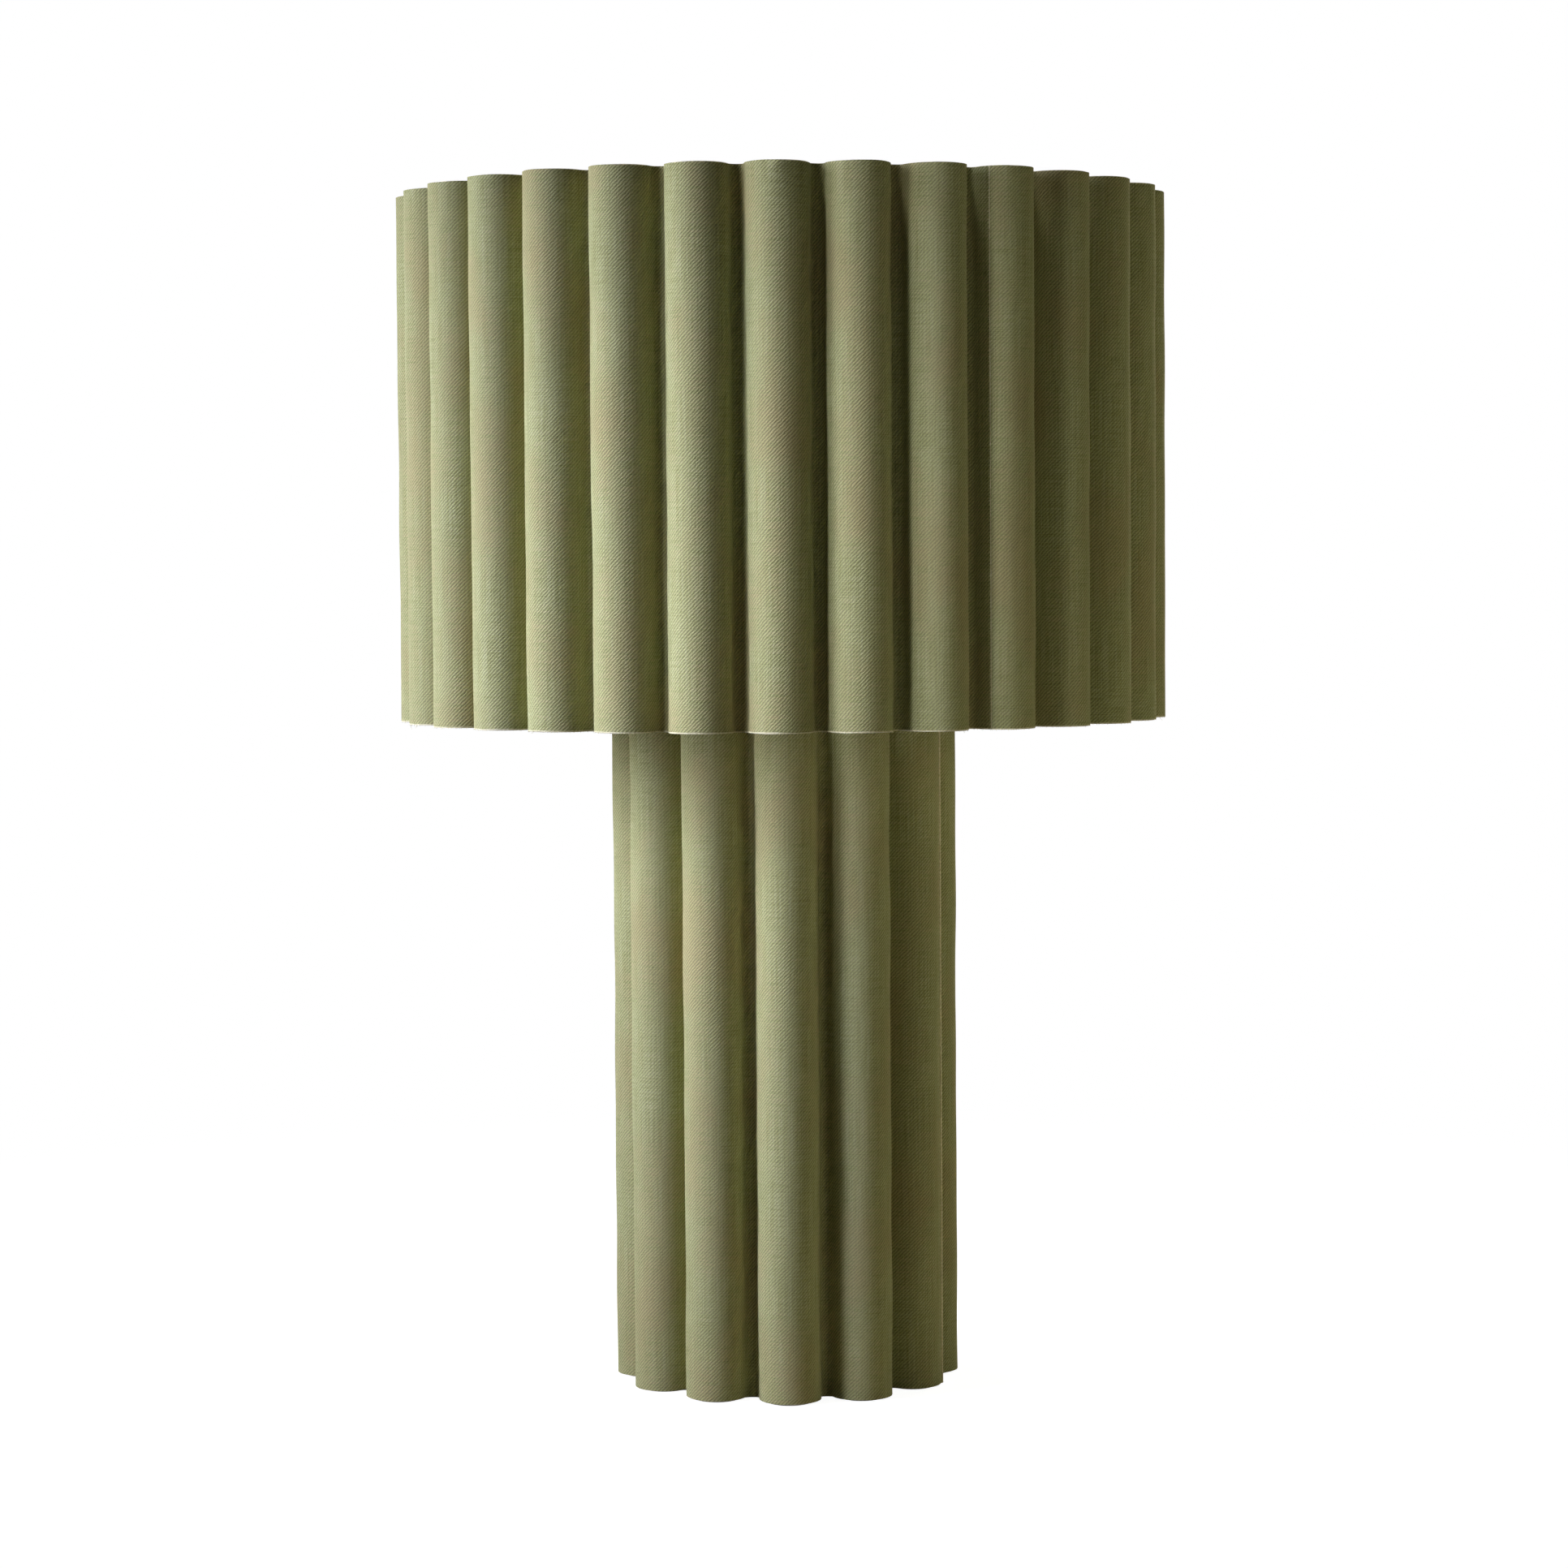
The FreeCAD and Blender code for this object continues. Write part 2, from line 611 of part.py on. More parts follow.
def socket_cap():
    """Spun bowl under the socket, with the hub that screws onto the pipe."""
    centre = (SOCKET_CAP_HUB_RADIUS, CAP_RIM_BOTTOM)
    inner_bowl = CAP_BOWL_RADIUS - SOCKET_CAP_WALL
    inner_radius = CAP_RADIUS - SOCKET_CAP_WALL
    inner_floor = CAP_HUB_TOP + SOCKET_CAP_WALL
    return turned(
        (PIPE_HOLE_RADIUS, SADDLE_TOP),
        (SOCKET_CAP_HUB_RADIUS, SADDLE_TOP),
        (SOCKET_CAP_HUB_RADIUS, CAP_HUB_TOP),
        (on_circle(centre, CAP_BOWL_RADIUS, -45), (CAP_RADIUS, CAP_RIM_BOTTOM)),
        (CAP_RADIUS, CAP_RIM_TOP),
        (inner_radius, CAP_RIM_TOP),
        (inner_radius, CAP_RIM_BOTTOM),
        (on_circle(centre, inner_bowl, -45), (SOCKET_CAP_HUB_RADIUS, inner_floor)),
        (PIPE_HOLE_RADIUS, inner_floor),
    )


def switch_opening():
    """The cutter for the switch shaft's opening through the front of the socket."""
    return Part.makeCylinder(
        SWITCH_OPENING_RADIUS, 2 * SOCKET_RADIUS, Vector(0, 0, SWITCH_LEVEL), -Y_AXIS
    )


def socket_shell():
    """Thin tube that stands in the cap's rim, with a rolled bead at its mouth."""
    inner_radius = SOCKET_RADIUS - SOCKET_SHELL_WALL
    bead_bottom = SHELL_TOP - 2 * SOCKET_BEAD
    shell = turned(
        (inner_radius, CAP_RIM_BOTTOM),
        (SOCKET_RADIUS, CAP_RIM_BOTTOM),
        (SOCKET_RADIUS, bead_bottom),
        ((SOCKET_RADIUS + SOCKET_BEAD, SHELL_TOP - SOCKET_BEAD), (SOCKET_RADIUS, SHELL_TOP)),
        (inner_radius, SHELL_TOP),
    )
    return shell.cut(switch_opening())


def socket_sleeve():
    """Card sleeve that insulates the shell from the live parts."""
    sleeve = tube(SLEEVE_RADIUS, SLEEVE_BORE, CAP_RIM_BOTTOM, SHELL_TOP - SOCKET_BEAD)
    return sleeve.cut(switch_opening())


def socket_body():
    """Moulded block with flats for the terminals and a bore for the switch shaft."""
    body = drum(BODY_RADIUS, CAP_RIM_BOTTOM, BODY_TOP)
    for side in (-1, 1):
        corner_x = BODY_RADIUS - SOCKET_BODY_FLAT if side > 0 else -2 * BODY_RADIUS + SOCKET_BODY_FLAT
        corner = Vector(corner_x, -BODY_RADIUS, CAP_RIM_BOTTOM)
        body = body.cut(Part.makeBox(BODY_RADIUS, 2 * BODY_RADIUS, SOCKET_BODY_HEIGHT, corner))
        body = body.cut(terminal_screw(side, FIT_GAP))
    start = Vector(0, SWITCH_SHAFT_HOLD - BODY_RADIUS, SWITCH_LEVEL)
    return body.cut(
        Part.makeCylinder(SWITCH_SHAFT_RADIUS + FIT_GAP, 2 * BODY_RADIUS, start, -Y_AXIS)
    )


def terminal_screw(side, clearance=0.0):
    """Binding screw in a flat of the socket body, or its hole when given a clearance."""
    seat = side * (BODY_RADIUS - SOCKET_BODY_FLAT)
    level = (CAP_RIM_BOTTOM + BODY_TOP) / 2
    outwards = X_AXIS * side
    shank_start = Vector(seat, 0, level) - outwards * TERMINAL_DEPTH
    shank = Part.makeCylinder(
        TERMINAL_SHANK_RADIUS + clearance, TERMINAL_DEPTH, shank_start, outwards
    )
    head = Part.makeCylinder(
        TERMINAL_HEAD_RADIUS, TERMINAL_HEAD, Vector(seat, 0, level), outwards
    )
    return shank if clearance else shank.fuse(head)


def terminal_screws():
    return Part.makeCompound([terminal_screw(-1), terminal_screw(1)])


def socket_screw_shell():
    """Threaded sleeve that takes the bulb's cap, drawn without its thread."""
    return tube(SCREW_SHELL_RADIUS, SCREW_SHELL_BORE, BODY_TOP, SCREW_SHELL_TOP)


def socket_contact():
    """Sprung centre contact, a low dome on the socket body."""
    dome_radius = (CONTACT_RADIUS**2 + CONTACT_HEIGHT**2) / (2 * CONTACT_HEIGHT)
    contact_top = BODY_TOP + CONTACT_HEIGHT
    centre = (0, contact_top - dome_radius)
    edge_angle = math.degrees(math.acos(CONTACT_RADIUS / dome_radius))
    middle = on_circle(centre, dome_radius, (edge_angle + 90) / 2)
    return turned(
        (0, BODY_TOP),
        (CONTACT_RADIUS, BODY_TOP),
        (middle, (0, contact_top)),
    )


def switch_shaft():
    start = Vector(0, SWITCH_SHAFT_HOLD - BODY_RADIUS - FIT_GAP, SWITCH_LEVEL)
    end_y = -SOCKET_RADIUS - KNOB_STANDOFF - KNOB_SOCKET_DEPTH
    return Part.makeCylinder(SWITCH_SHAFT_RADIUS, start.y - end_y, start, -Y_AXIS)


def switch_knob():
    """Tapered turn knob with grip grooves, pushed onto the shaft."""
    bore = SWITCH_SHAFT_RADIUS
    tip_radius = KNOB_RADIUS - KNOB_TAPER
    corner = (tip_radius - KNOB_ROUND, KNOB_LENGTH - KNOB_ROUND)
    knob = turned(
        (bore, 0),
        (KNOB_RADIUS, 0),
        (tip_radius, corner[1]),
        (on_circle(corner, KNOB_ROUND, 45), (corner[0], KNOB_LENGTH)),
        (0, KNOB_LENGTH),
        (0, KNOB_SOCKET_DEPTH),
        (bore, KNOB_SOCKET_DEPTH),
    )
    lean = math.atan2(KNOB_TAPER, corner[1])
    for i in range(KNOB_GROOVES):
        angle = 2 * math.pi * i / KNOB_GROOVES
        along = polar(-math.sin(lean), angle, math.cos(lean))
        groove = Part.makeCylinder(
            KNOB_GROOVE_RADIUS, 2 * KNOB_LENGTH, polar(KNOB_RADIUS, angle), along
        )
        knob = knob.cut(groove)
    knob.rotate(ORIGIN, X_AXIS, 90)
    knob.translate(Vector(0, -SOCKET_RADIUS - KNOB_STANDOFF, SWITCH_LEVEL))
    return knob


def bulb_contact():
    return drum(BULB_TIP_RADIUS, TIP_BOTTOM, TIP_TOP)


def bulb_insulator():
    """Glassy cone between the bulb's centre contact and its cap."""
    inner_cap = BULB_CAP_RADIUS - BULB_CAP_WALL - FIT_GAP
    return turned(
        (0, TIP_TOP),
        (BULB_TIP_RADIUS, TIP_TOP),
        (inner_cap, CAP_CONE_TOP),
        (0, CAP_CONE_TOP),
    )


def bulb_cap():
    """Drawn metal screw cap of the bulb, without its thread."""
    return tube(
        BULB_CAP_RADIUS, BULB_CAP_RADIUS - BULB_CAP_WALL, CAP_CONE_TOP, BULB_CAP_TOP
    )


def bulb_glass():
    """Blown envelope: a neck that sweeps out into a round globe, open inside the cap."""
    neck_top = BULB_CAP_TOP + BULB_NECK_LENGTH
    sweep_centre = (BULB_NECK_RADIUS + BULB_SWEEP_RADIUS, neck_top)
    reach = BULB_SWEEP_RADIUS + BULB_RADIUS
    rise = math.sqrt(reach**2 - sweep_centre[0] ** 2)
    globe_centre = (0, neck_top + rise)
    meet = math.degrees(math.atan2(-rise, sweep_centre[0]))

    def side(inset):
        globe = BULB_RADIUS - inset
        sweep = BULB_SWEEP_RADIUS + inset
        join = on_circle(globe_centre, globe, meet)
        neck_arc = (on_circle(sweep_centre, sweep, 180 + meet / 2), join)
        globe_arc = (on_circle(globe_centre, globe, (meet + 90) / 2), (0, globe_centre[1] + globe))
        return neck_arc, globe_arc

    outer = side(0)
    inner_neck = BULB_NECK_RADIUS - BULB_WALL
    inner = side(BULB_WALL)
    foot = BULB_CAP_TOP - BULB_CAP_HEIGHT / 2
    return turned(
        (inner_neck, foot),
        (BULB_NECK_RADIUS, foot),
        (BULB_NECK_RADIUS, neck_top),
        outer[0],
        outer[1],
        (0, globe_centre[1] + BULB_RADIUS - BULB_WALL),
        (inner[1][0], inner[0][1]),
        (inner[0][0], (inner_neck, neck_top)),
    )


NODES = {
    "column_fabric": column_fabric(),
    "column_liner": column_liner(),
    "bottom_board": bottom_board(),
    "felt_pad": felt_pad(),
    "base_weight": base_weight(),
    "top_board": top_board(),
    "top_cover": top_cover(),
    "lamp_pipe": lamp_pipe(),
    "bottom_washer": washer(RECESS_TOP - WASHER_THICKNESS),
    "bottom_nut": hex_nut(RECESS_TOP - WASHER_THICKNESS - NUT_HEIGHT),
    "weight_washer": washer(WEIGHT_TOP),
    "weight_nut": hex_nut(WEIGHT_TOP + WASHER_THICKNESS),
    "top_washer": washer(COLUMN_HEIGHT),
    "top_nut": hex_nut(COLUMN_HEIGHT + WASHER_THICKNESS),
    "neck_cover": neck_cover(),
    "cord_bushing": cord_bushing(),
    "harp_saddle": harp_saddle(),
    "harp_loop": harp_loop(),
    "harp_stud": harp_stud(),
    "harp_ferrule_left": harp_ferrule(-1),
    "harp_ferrule_right": harp_ferrule(1),
    "finial_base": finial_base(),
    "finial_knob": finial_knob(),
    "shade_fabric": shade_fabric(),
    "shade_liner": shade_liner(),
    "shade_top_ring": shade_ring(OVERALL_HEIGHT - RING_INSET),
    "shade_bottom_ring": shade_ring(SHADE_BOTTOM + RING_INSET),
    "shade_spider": shade_spider(),
    "socket_cap": socket_cap(),
    "socket_shell": socket_shell(),
    "socket_sleeve": socket_sleeve(),
    "socket_body": socket_body(),
    "terminal_screws": terminal_screws(),
    "socket_screw_shell": socket_screw_shell(),
    "socket_contact": socket_contact(),
    "switch_shaft": switch_shaft(),
    "switch_knob": switch_knob(),
    "bulb_contact": bulb_contact(),
    "bulb_insulator": bulb_insulator(),
    "bulb_cap": bulb_cap(),
    "bulb_glass": bulb_glass(),
}

os.makedirs("parts", exist_ok=True)
for name, shape in NODES.items():
    shape.exportStep(f"parts/{name}.step")
print(f"{len(NODES)} pieces, overall height {OVERALL_HEIGHT:.1f} mm, shade from {SHADE_BOTTOM:.1f} mm")
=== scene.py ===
# %% [markdown]
# # A table lamp dressed in ribbed linen
#
# The lamp is a drum shade above a round column. Both are wrapped in the same sage linen twill, glued to a stiff
# liner that is folded into upright half-round ribs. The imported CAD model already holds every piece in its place, so
# this lesson loads it as a fixed frame and adds what CAD does not carry: the cloth with its cut edges and its lapped
# seams, the rolled threads, the finishes, the light and the camera.

# %% Load the frame
import json
import math

import bpy
import numpy as np
from mathutils import Matrix, Vector


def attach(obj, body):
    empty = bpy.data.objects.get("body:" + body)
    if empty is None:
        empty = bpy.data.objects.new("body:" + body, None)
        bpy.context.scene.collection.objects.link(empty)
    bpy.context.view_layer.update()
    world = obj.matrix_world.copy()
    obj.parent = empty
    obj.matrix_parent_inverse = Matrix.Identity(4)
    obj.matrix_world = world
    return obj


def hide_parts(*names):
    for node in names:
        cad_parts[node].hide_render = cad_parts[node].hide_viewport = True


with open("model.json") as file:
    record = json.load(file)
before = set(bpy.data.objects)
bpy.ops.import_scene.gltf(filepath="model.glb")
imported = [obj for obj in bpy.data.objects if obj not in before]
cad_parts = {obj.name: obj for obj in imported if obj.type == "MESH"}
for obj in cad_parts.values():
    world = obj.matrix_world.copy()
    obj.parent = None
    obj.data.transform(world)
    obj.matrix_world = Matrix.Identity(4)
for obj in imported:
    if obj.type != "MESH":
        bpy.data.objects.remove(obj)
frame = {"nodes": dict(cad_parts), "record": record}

MM = 0.001
scene = bpy.context.scene
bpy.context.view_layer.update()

# %% [markdown]
# ## Helpers
#
# Operators act on whatever is selected, so each step first clears the selection and then takes up one piece. A
# colour is written as the hex code that a paint card would give, and Blender wants linear light, so one function
# turns the first into the second.

# %% Selecting, applying, colouring
def clear_selection():
    active = bpy.context.view_layer.objects.active
    if active and active.mode != "OBJECT":
        bpy.ops.object.mode_set(mode="OBJECT")
    bpy.ops.object.select_all(action="DESELECT")


def take_up(piece):
    clear_selection()
    piece.select_set(True)
    bpy.context.view_layer.objects.active = piece


def apply_modifier(piece, modifier):
    take_up(piece)
    bpy.ops.object.modifier_apply(modifier=modifier.name)


def colour(code):
    """An sRGB hex colour as linear RGBA."""
    values = [int(code[start:start + 2], 16) / 255 for start in (1, 3, 5)]
    return [v / 12.92 if v <= 0.04045 else ((v + 0.055) / 1.055) ** 2.4 for v in values] + [1.0]


print("Middle grey in linear light:", [round(v, 3) for v in colour("#808080")[:3]])

# %% [markdown]
# Every finish below is a small tree of nodes. One function adds a node: its settings come by name, and each input
# gets either a plain value or a link from another node's output. Where a node fades from colour to colour, its stops
# are given as places and hex codes.

# %% Adding nodes
def add_node(tree, kind, inputs=None, stops=(), **settings):
    made = tree.nodes.new(kind)
    for name, value in settings.items():
        setattr(made, name, value)
    for name, value in (inputs or {}).items():
        socket = made.inputs[name]
        if isinstance(value, bpy.types.NodeSocket):
            tree.links.new(value, socket)
        else:
            socket.default_value = value
    for place, _ in stops[1:-1]:
        made.color_ramp.elements.new(place)
    for number, (place, code) in enumerate(stops):
        made.color_ramp.elements[number].position = place
        made.color_ramp.elements[number].color = colour(code)
    return made


def new_finish(name):
    finish = bpy.data.materials.new(name)
    finish.use_nodes = True
    finish.node_tree.nodes.clear()
    return finish, finish.node_tree


def show_finish(tree, shader):
    add_node(tree, "ShaderNodeOutputMaterial", {"Surface": shader.outputs[0]})
    print("Finish of", len(tree.nodes), "nodes")


# %% [markdown]
# ## The camera
#
# The lamp was photographed from about two metres away through a longish lens, from the height of the shade's lower
# half and looking slightly down. A long lens keeps the drum's rims almost straight, so lens and distance matter more
# here than for a wide view.

# %% Camera
CAMERA_DISTANCE = 2.0735
CAMERA_HEIGHT = 0.4299
CAMERA_SWING = math.radians(-0.7)
CAMERA_TILT = math.radians(3.228)
CAMERA_ROLL = math.radians(-0.389)
CAMERA_LENS, CAMERA_SENSOR = 90.37, 36.0

clear_selection()
bpy.ops.object.camera_add()
camera = bpy.context.object
camera.name = "studio_camera"
camera.data.lens = CAMERA_LENS
camera.data.sensor_width = CAMERA_SENSOR
stand = Vector((math.sin(CAMERA_SWING), -math.cos(CAMERA_SWING), 0)) * CAMERA_DISTANCE
stand.z = CAMERA_HEIGHT
camera.matrix_world = (
    Matrix.Translation(stand)
    @ Matrix.Rotation(CAMERA_SWING, 4, "Z")
    @ Matrix.Rotation(math.radians(90) - CAMERA_TILT, 4, "X")
    @ Matrix.Rotation(CAMERA_ROLL, 4, "Z")
)
scene.camera = camera
print("Camera stands at", [round(v, 3) for v in stand])

# %% [markdown]
# ## Studio light
#
# The room itself gives almost no light. What the camera, a reflection or clear glass sees behind the lamp is plain
# white, so the background can be white without any more light falling on the cloth.

# %% Room
scene.view_settings.view_transform = "Standard"
room = bpy.data.worlds.new("studio_room")
scene.world = room
room.use_nodes = True
room.node_tree.nodes.clear()


def seen_directly(tree):
    """1 for rays from the camera, from a reflection or through glass, and 0 for light that spreads."""
    path = add_node(tree, "ShaderNodeLightPath")
    mirrored = add_node(
        tree, "ShaderNodeMath", {0: path.outputs["Is Camera Ray"], 1: path.outputs["Is Glossy Ray"]},
        operation="MAXIMUM")
    return add_node(
        tree, "ShaderNodeMath", {0: mirrored.outputs[0], 1: path.outputs["Is Transmission Ray"]},
        operation="MAXIMUM").outputs[0]


tree = room.node_tree
dim = add_node(tree, "ShaderNodeBackground", {"Color": colour("#FFFFFF"), "Strength": 0.01})
white = add_node(tree, "ShaderNodeBackground", {"Color": colour("#FFFFFF"), "Strength": 1.0})
behind = add_node(tree, "ShaderNodeMixShader", {0: seen_directly(tree), 1: dim.outputs[0], 2: white.outputs[0]})
add_node(tree, "ShaderNodeOutputWorld", {"Surface": behind.outputs[0]})
print("Room:", len(tree.nodes), "nodes")

# %% [markdown]
# The light comes from the left, so that each rib has one bright flank and one dark one. Two boxes with wide beams
# give it. One large box alone would also light the column right up to the shade, so weaker boxes with a grid, which
# keeps a beam narrow, then lift single zones: the middle and the right of the shade and the foot of the column. On
# the right, fills and a rim light keep the shadows from closing. Two boxes behind and one above serve the back and
# the inside.

# %% Softboxes
BOX_WIDE, BOX_TALL = 0.36, 0.40
# name: swing from the camera (negative is left), height, distance, spread of the grid, point it faces, watts, tint
SOFTBOXES = {
    "key_low": (-82, 0.60, 1.1, 70, (0, 0, 0.36), 1.12, "#E2E8FF"),
    "key_high": (-68, 0.85, 1.1, 48, (0, 0, 0.27), 0.75, "#E2E8FF"),
    "front_grid": (-58, 0.45, 1.3, 25, (0.05, -0.19, 0.46), 0.30, "#E2E8FF"),
    "right_grid": (-36, 0.50, 1.3, 22, (0.25, -0.20, 0.45), 0.34, "#F4F6FF"),
    "column_grid": (-60, 0.45, 1.3, 22, (0, -0.08, 0.08), 0.29, "#E2E8FF"),
    "column_fill": (45, 0.20, 1.3, 25, (0.05, -0.05, 0.14), 0.045, "#F6F3D0"),
    "right_front": (15, 0.45, 1.3, 20, (0.22, -0.08, 0.45), 0.045, "#F6F3D0"),
    "right_fill": (38, 0.45, 1.1, 180, (0, 0, 0.36), 0.18, "#F6F3D0"),
    "right_rim": (80, 0.45, 1.1, 180, (0, 0, 0.36), 1.2, "#F6F3D0"),
    "back_left": (-152, 0.60, 1.2, 180, (0, 0, 0.36), 3.0, "#FFFFFF"),
    "back_right": (140, 0.60, 1.2, 180, (0, 0, 0.36), 2.6, "#FFF4D8"),
    "top_grid": (-90, 1.70, 0.35, 24, (0, 0, 0.40), 0.65, "#FFFFFF"),
}
for name, (swing, height, distance, spread, target, watts, tint) in SOFTBOXES.items():
    turn = CAMERA_SWING + math.radians(swing)
    place = Vector((math.sin(turn) * distance, -math.cos(turn) * distance, height))
    aim = Vector(target) - place
    clear_selection()
    bpy.ops.object.light_add(type="AREA", location=place, rotation=aim.to_track_quat("-Z", "Y").to_euler())
    box = bpy.context.object
    box.name = name
    box.data.shape = "RECTANGLE"
    box.data.size, box.data.size_y = BOX_WIDE, BOX_TALL
    box.data.spread = math.radians(spread)
    box.data.energy = watts
    box.data.color = colour(tint)[:3]
    box.visible_camera = False
    print(name, [round(v, 2) for v in place], watts, "W")

# %% [markdown]
# The lamp stands on a pale sheet of studio paper. Close to the lamp the paper takes light and shadow, and further
# out it fades to plain white, so that its far edge never shows. A sheet as white as that would throw a lot of light
# back up on to the cloth, so the paper that spreading light meets is duller and warmer than the one the camera sees.

# %% Floor
PAPER_SIZE, PAPER_NEAR, PAPER_FAR = 12, 0.25, 1.0
clear_selection()
bpy.ops.mesh.primitive_plane_add(size=PAPER_SIZE, location=(0, 0, 0))
floor = bpy.context.object
floor.name = "studio_floor"
paper, tree = new_finish("studio_paper")
spot = add_node(tree, "ShaderNodeTexCoord")
reach = add_node(tree, "ShaderNodeVectorMath", {0: spot.outputs["Object"]}, operation="LENGTH")
away = add_node(
    tree, "ShaderNodeMapRange", {"Value": reach.outputs["Value"], "From Min": PAPER_NEAR, "From Max": PAPER_FAR},
    interpolation_type="SMOOTHSTEP")
bounce = add_node(tree, "ShaderNodeBsdfDiffuse", {"Color": colour("#8A8064")})
matt = add_node(tree, "ShaderNodeBsdfDiffuse", {"Color": colour("#ABAAA6")})
glow = add_node(tree, "ShaderNodeEmission", {"Color": colour("#FFFFFF"), "Strength": 0.95})
near = add_node(tree, "ShaderNodeAddShader", {0: matt.outputs[0], 1: glow.outputs[0]})
plain = add_node(tree, "ShaderNodeEmission", {"Color": colour("#FFFFFF"), "Strength": 1.0})
shown = add_node(tree, "ShaderNodeMixShader", {0: away.outputs[0], 1: near.outputs[0], 2: plain.outputs[0]})
lying = add_node(tree, "ShaderNodeMixShader", {0: seen_directly(tree), 1: bounce.outputs[0], 2: shown.outputs[0]})
add_node(tree, "ShaderNodeOutputMaterial", {"Surface": lying.outputs[0]})
floor.data.materials.append(paper)
print("Floor laid at z = 0")

# %% [markdown]
# ## Linen twill
#
# The cloth is an upholstery linen woven in twill: each weft thread passes over two warp threads and steps one aside
# in the next row, which leaves fine ridges rising to the right. Flax is spun unevenly, so thicker stretches of
# thread, slubs, run across and up the cloth. The weave belongs to the flat cloth before it is folded, so the pattern
# reads the cloth's own UV map, which is laid out in metres of cloth.

# %% Weave of the linen
# The real ridges lie 0.84 mm apart, finer than a pixel pair, so they are drawn at 1.35 mm to show at all.
TWILL_PITCH = 1.35 * MM
WAVE_REPEAT = 0.31416  # a wave texture of scale 1 repeats after this length
WEFT_SLUB = (14 * MM, 0.55 * MM)
WARP_SLUB = (0.6 * MM, 40 * MM)
BEAD = (0.9 * MM, 0.7 * MM)
BLOTCH = (42 * MM, 67 * MM)


def weave(tree):
    """Twill ridges, weft slubs, warp slubs, single stitches and dye blotches, each from 0 to 1 over the flat cloth."""
    cloth = add_node(tree, "ShaderNodeUVMap", uv_map="cloth").outputs[0]
    slant = add_node(tree, "ShaderNodeMapping", {"Vector": cloth, "Rotation": (0, 0, math.radians(45))})
    ridges = add_node(
        tree, "ShaderNodeTexWave",
        {"Vector": slant.outputs[0], "Scale": WAVE_REPEAT / TWILL_PITCH, "Distortion": 1.6, "Detail": 2.0,
         "Detail Scale": 1.7},
        wave_type="BANDS", bands_direction="X")
    found = [ridges.outputs["Fac"]]
    for wide, tall, detail in (WEFT_SLUB + (2.0,), WARP_SLUB + (2.0,), BEAD + (0.0,), BLOTCH + (3.0,)):
        stretch = add_node(tree, "ShaderNodeMapping", {"Vector": cloth, "Scale": (1 / wide, 1 / tall, 1)})
        found.append(add_node(
            tree, "ShaderNodeTexNoise",
            {"Vector": stretch.outputs[0], "Scale": 1.0, "Detail": detail, "Roughness": 0.55},
            noise_dimensions="2D").outputs["Fac"])
    return found


print("Twill ridges drawn", round(TWILL_PITCH / MM, 2), "mm apart")

# %% [markdown]
# The finish lays these patterns over each other. Thick and thin threads run from light to deep green, and slow
# blotches turn a little brown as unbleached flax does. The ridges, mixed with single stitches of random tone, also
# darken the colour in the gaps between them, which is painted shade: in a real weave the threads shade those gaps
# themselves.
# The same ridges and threads give the bump, so that light from the side picks out the weave.

# %% Linen finish
# Woven flax: matt and soft green, with slanting ridges, streaks of thicker thread and a dry sheen at the rims.
FLAX_LIGHT = "#B7B68B"
FLAX_MID = "#A7A777"
FLAX_DEEP = "#929161"
FLAX_BROWN = "#A99B70"
linen, tree = new_finish("linen_twill")
ridges, weft, warp, bead, blotch = weave(tree)
threads = add_node(tree, "ShaderNodeMath", {0: weft, 1: warp}, operation="ADD").outputs[0]
spun = add_node(tree, "ShaderNodeMapRange", {"Value": threads, "From Min": 0.62, "From Max": 1.38})
body = add_node(
    tree, "ShaderNodeValToRGB", {"Fac": spun.outputs[0]}, stops=((0, FLAX_DEEP), (0.5, FLAX_MID), (1, FLAX_LIGHT)))
mottled = add_node(tree, "ShaderNodeMath", {0: weft, 1: 0.7, 2: blotch}, operation="MULTIPLY_ADD").outputs[0]
aged = add_node(tree, "ShaderNodeMapRange", {"Value": mottled, "From Min": 0.78, "From Max": 1.08, "To Max": 0.7})
dyed = add_node(
    tree, "ShaderNodeMix", {"Factor": aged.outputs[0], 6: body.outputs[0], 7: colour(FLAX_BROWN)}, data_type="RGBA")
beads = add_node(tree, "ShaderNodeMix", {"Factor": 0.35, 2: ridges, 3: bead})
# Painted shade: the ridge pattern darkens the cloth's colour in the gaps between ridges, down to 0.55.
painted_gap_shade = add_node(tree, "ShaderNodeMapRange", {"Value": beads.outputs[0], "To Min": 0.55, "To Max": 1.45})
weave_colour_and_gap_shade = add_node(
    tree, "ShaderNodeMix", {"Factor": 1.0, 6: dyed.outputs[2], 7: painted_gap_shade.outputs[0]},
    data_type="RGBA", blend_type="MULTIPLY")
relief = add_node(tree, "ShaderNodeMath", {0: threads, 1: 0.25, 2: beads.outputs[0]}, operation="MULTIPLY_ADD")
bump = add_node(
    tree, "ShaderNodeBump", {"Height": relief.outputs[0], "Strength": 0.85, "Distance": 0.22 * MM})
shader = add_node(
    tree, "ShaderNodeBsdfPrincipled",
    {"Base Color": weave_colour_and_gap_shade.outputs[2], "Roughness": 0.85, "Specular IOR Level": 0.08, "Sheen Weight": 0.2,
     "Sheen Roughness": 0.3, "Sheen Tint": colour("#F0E2B8"), "Normal": bump.outputs[0]})
show_finish(tree, shader)
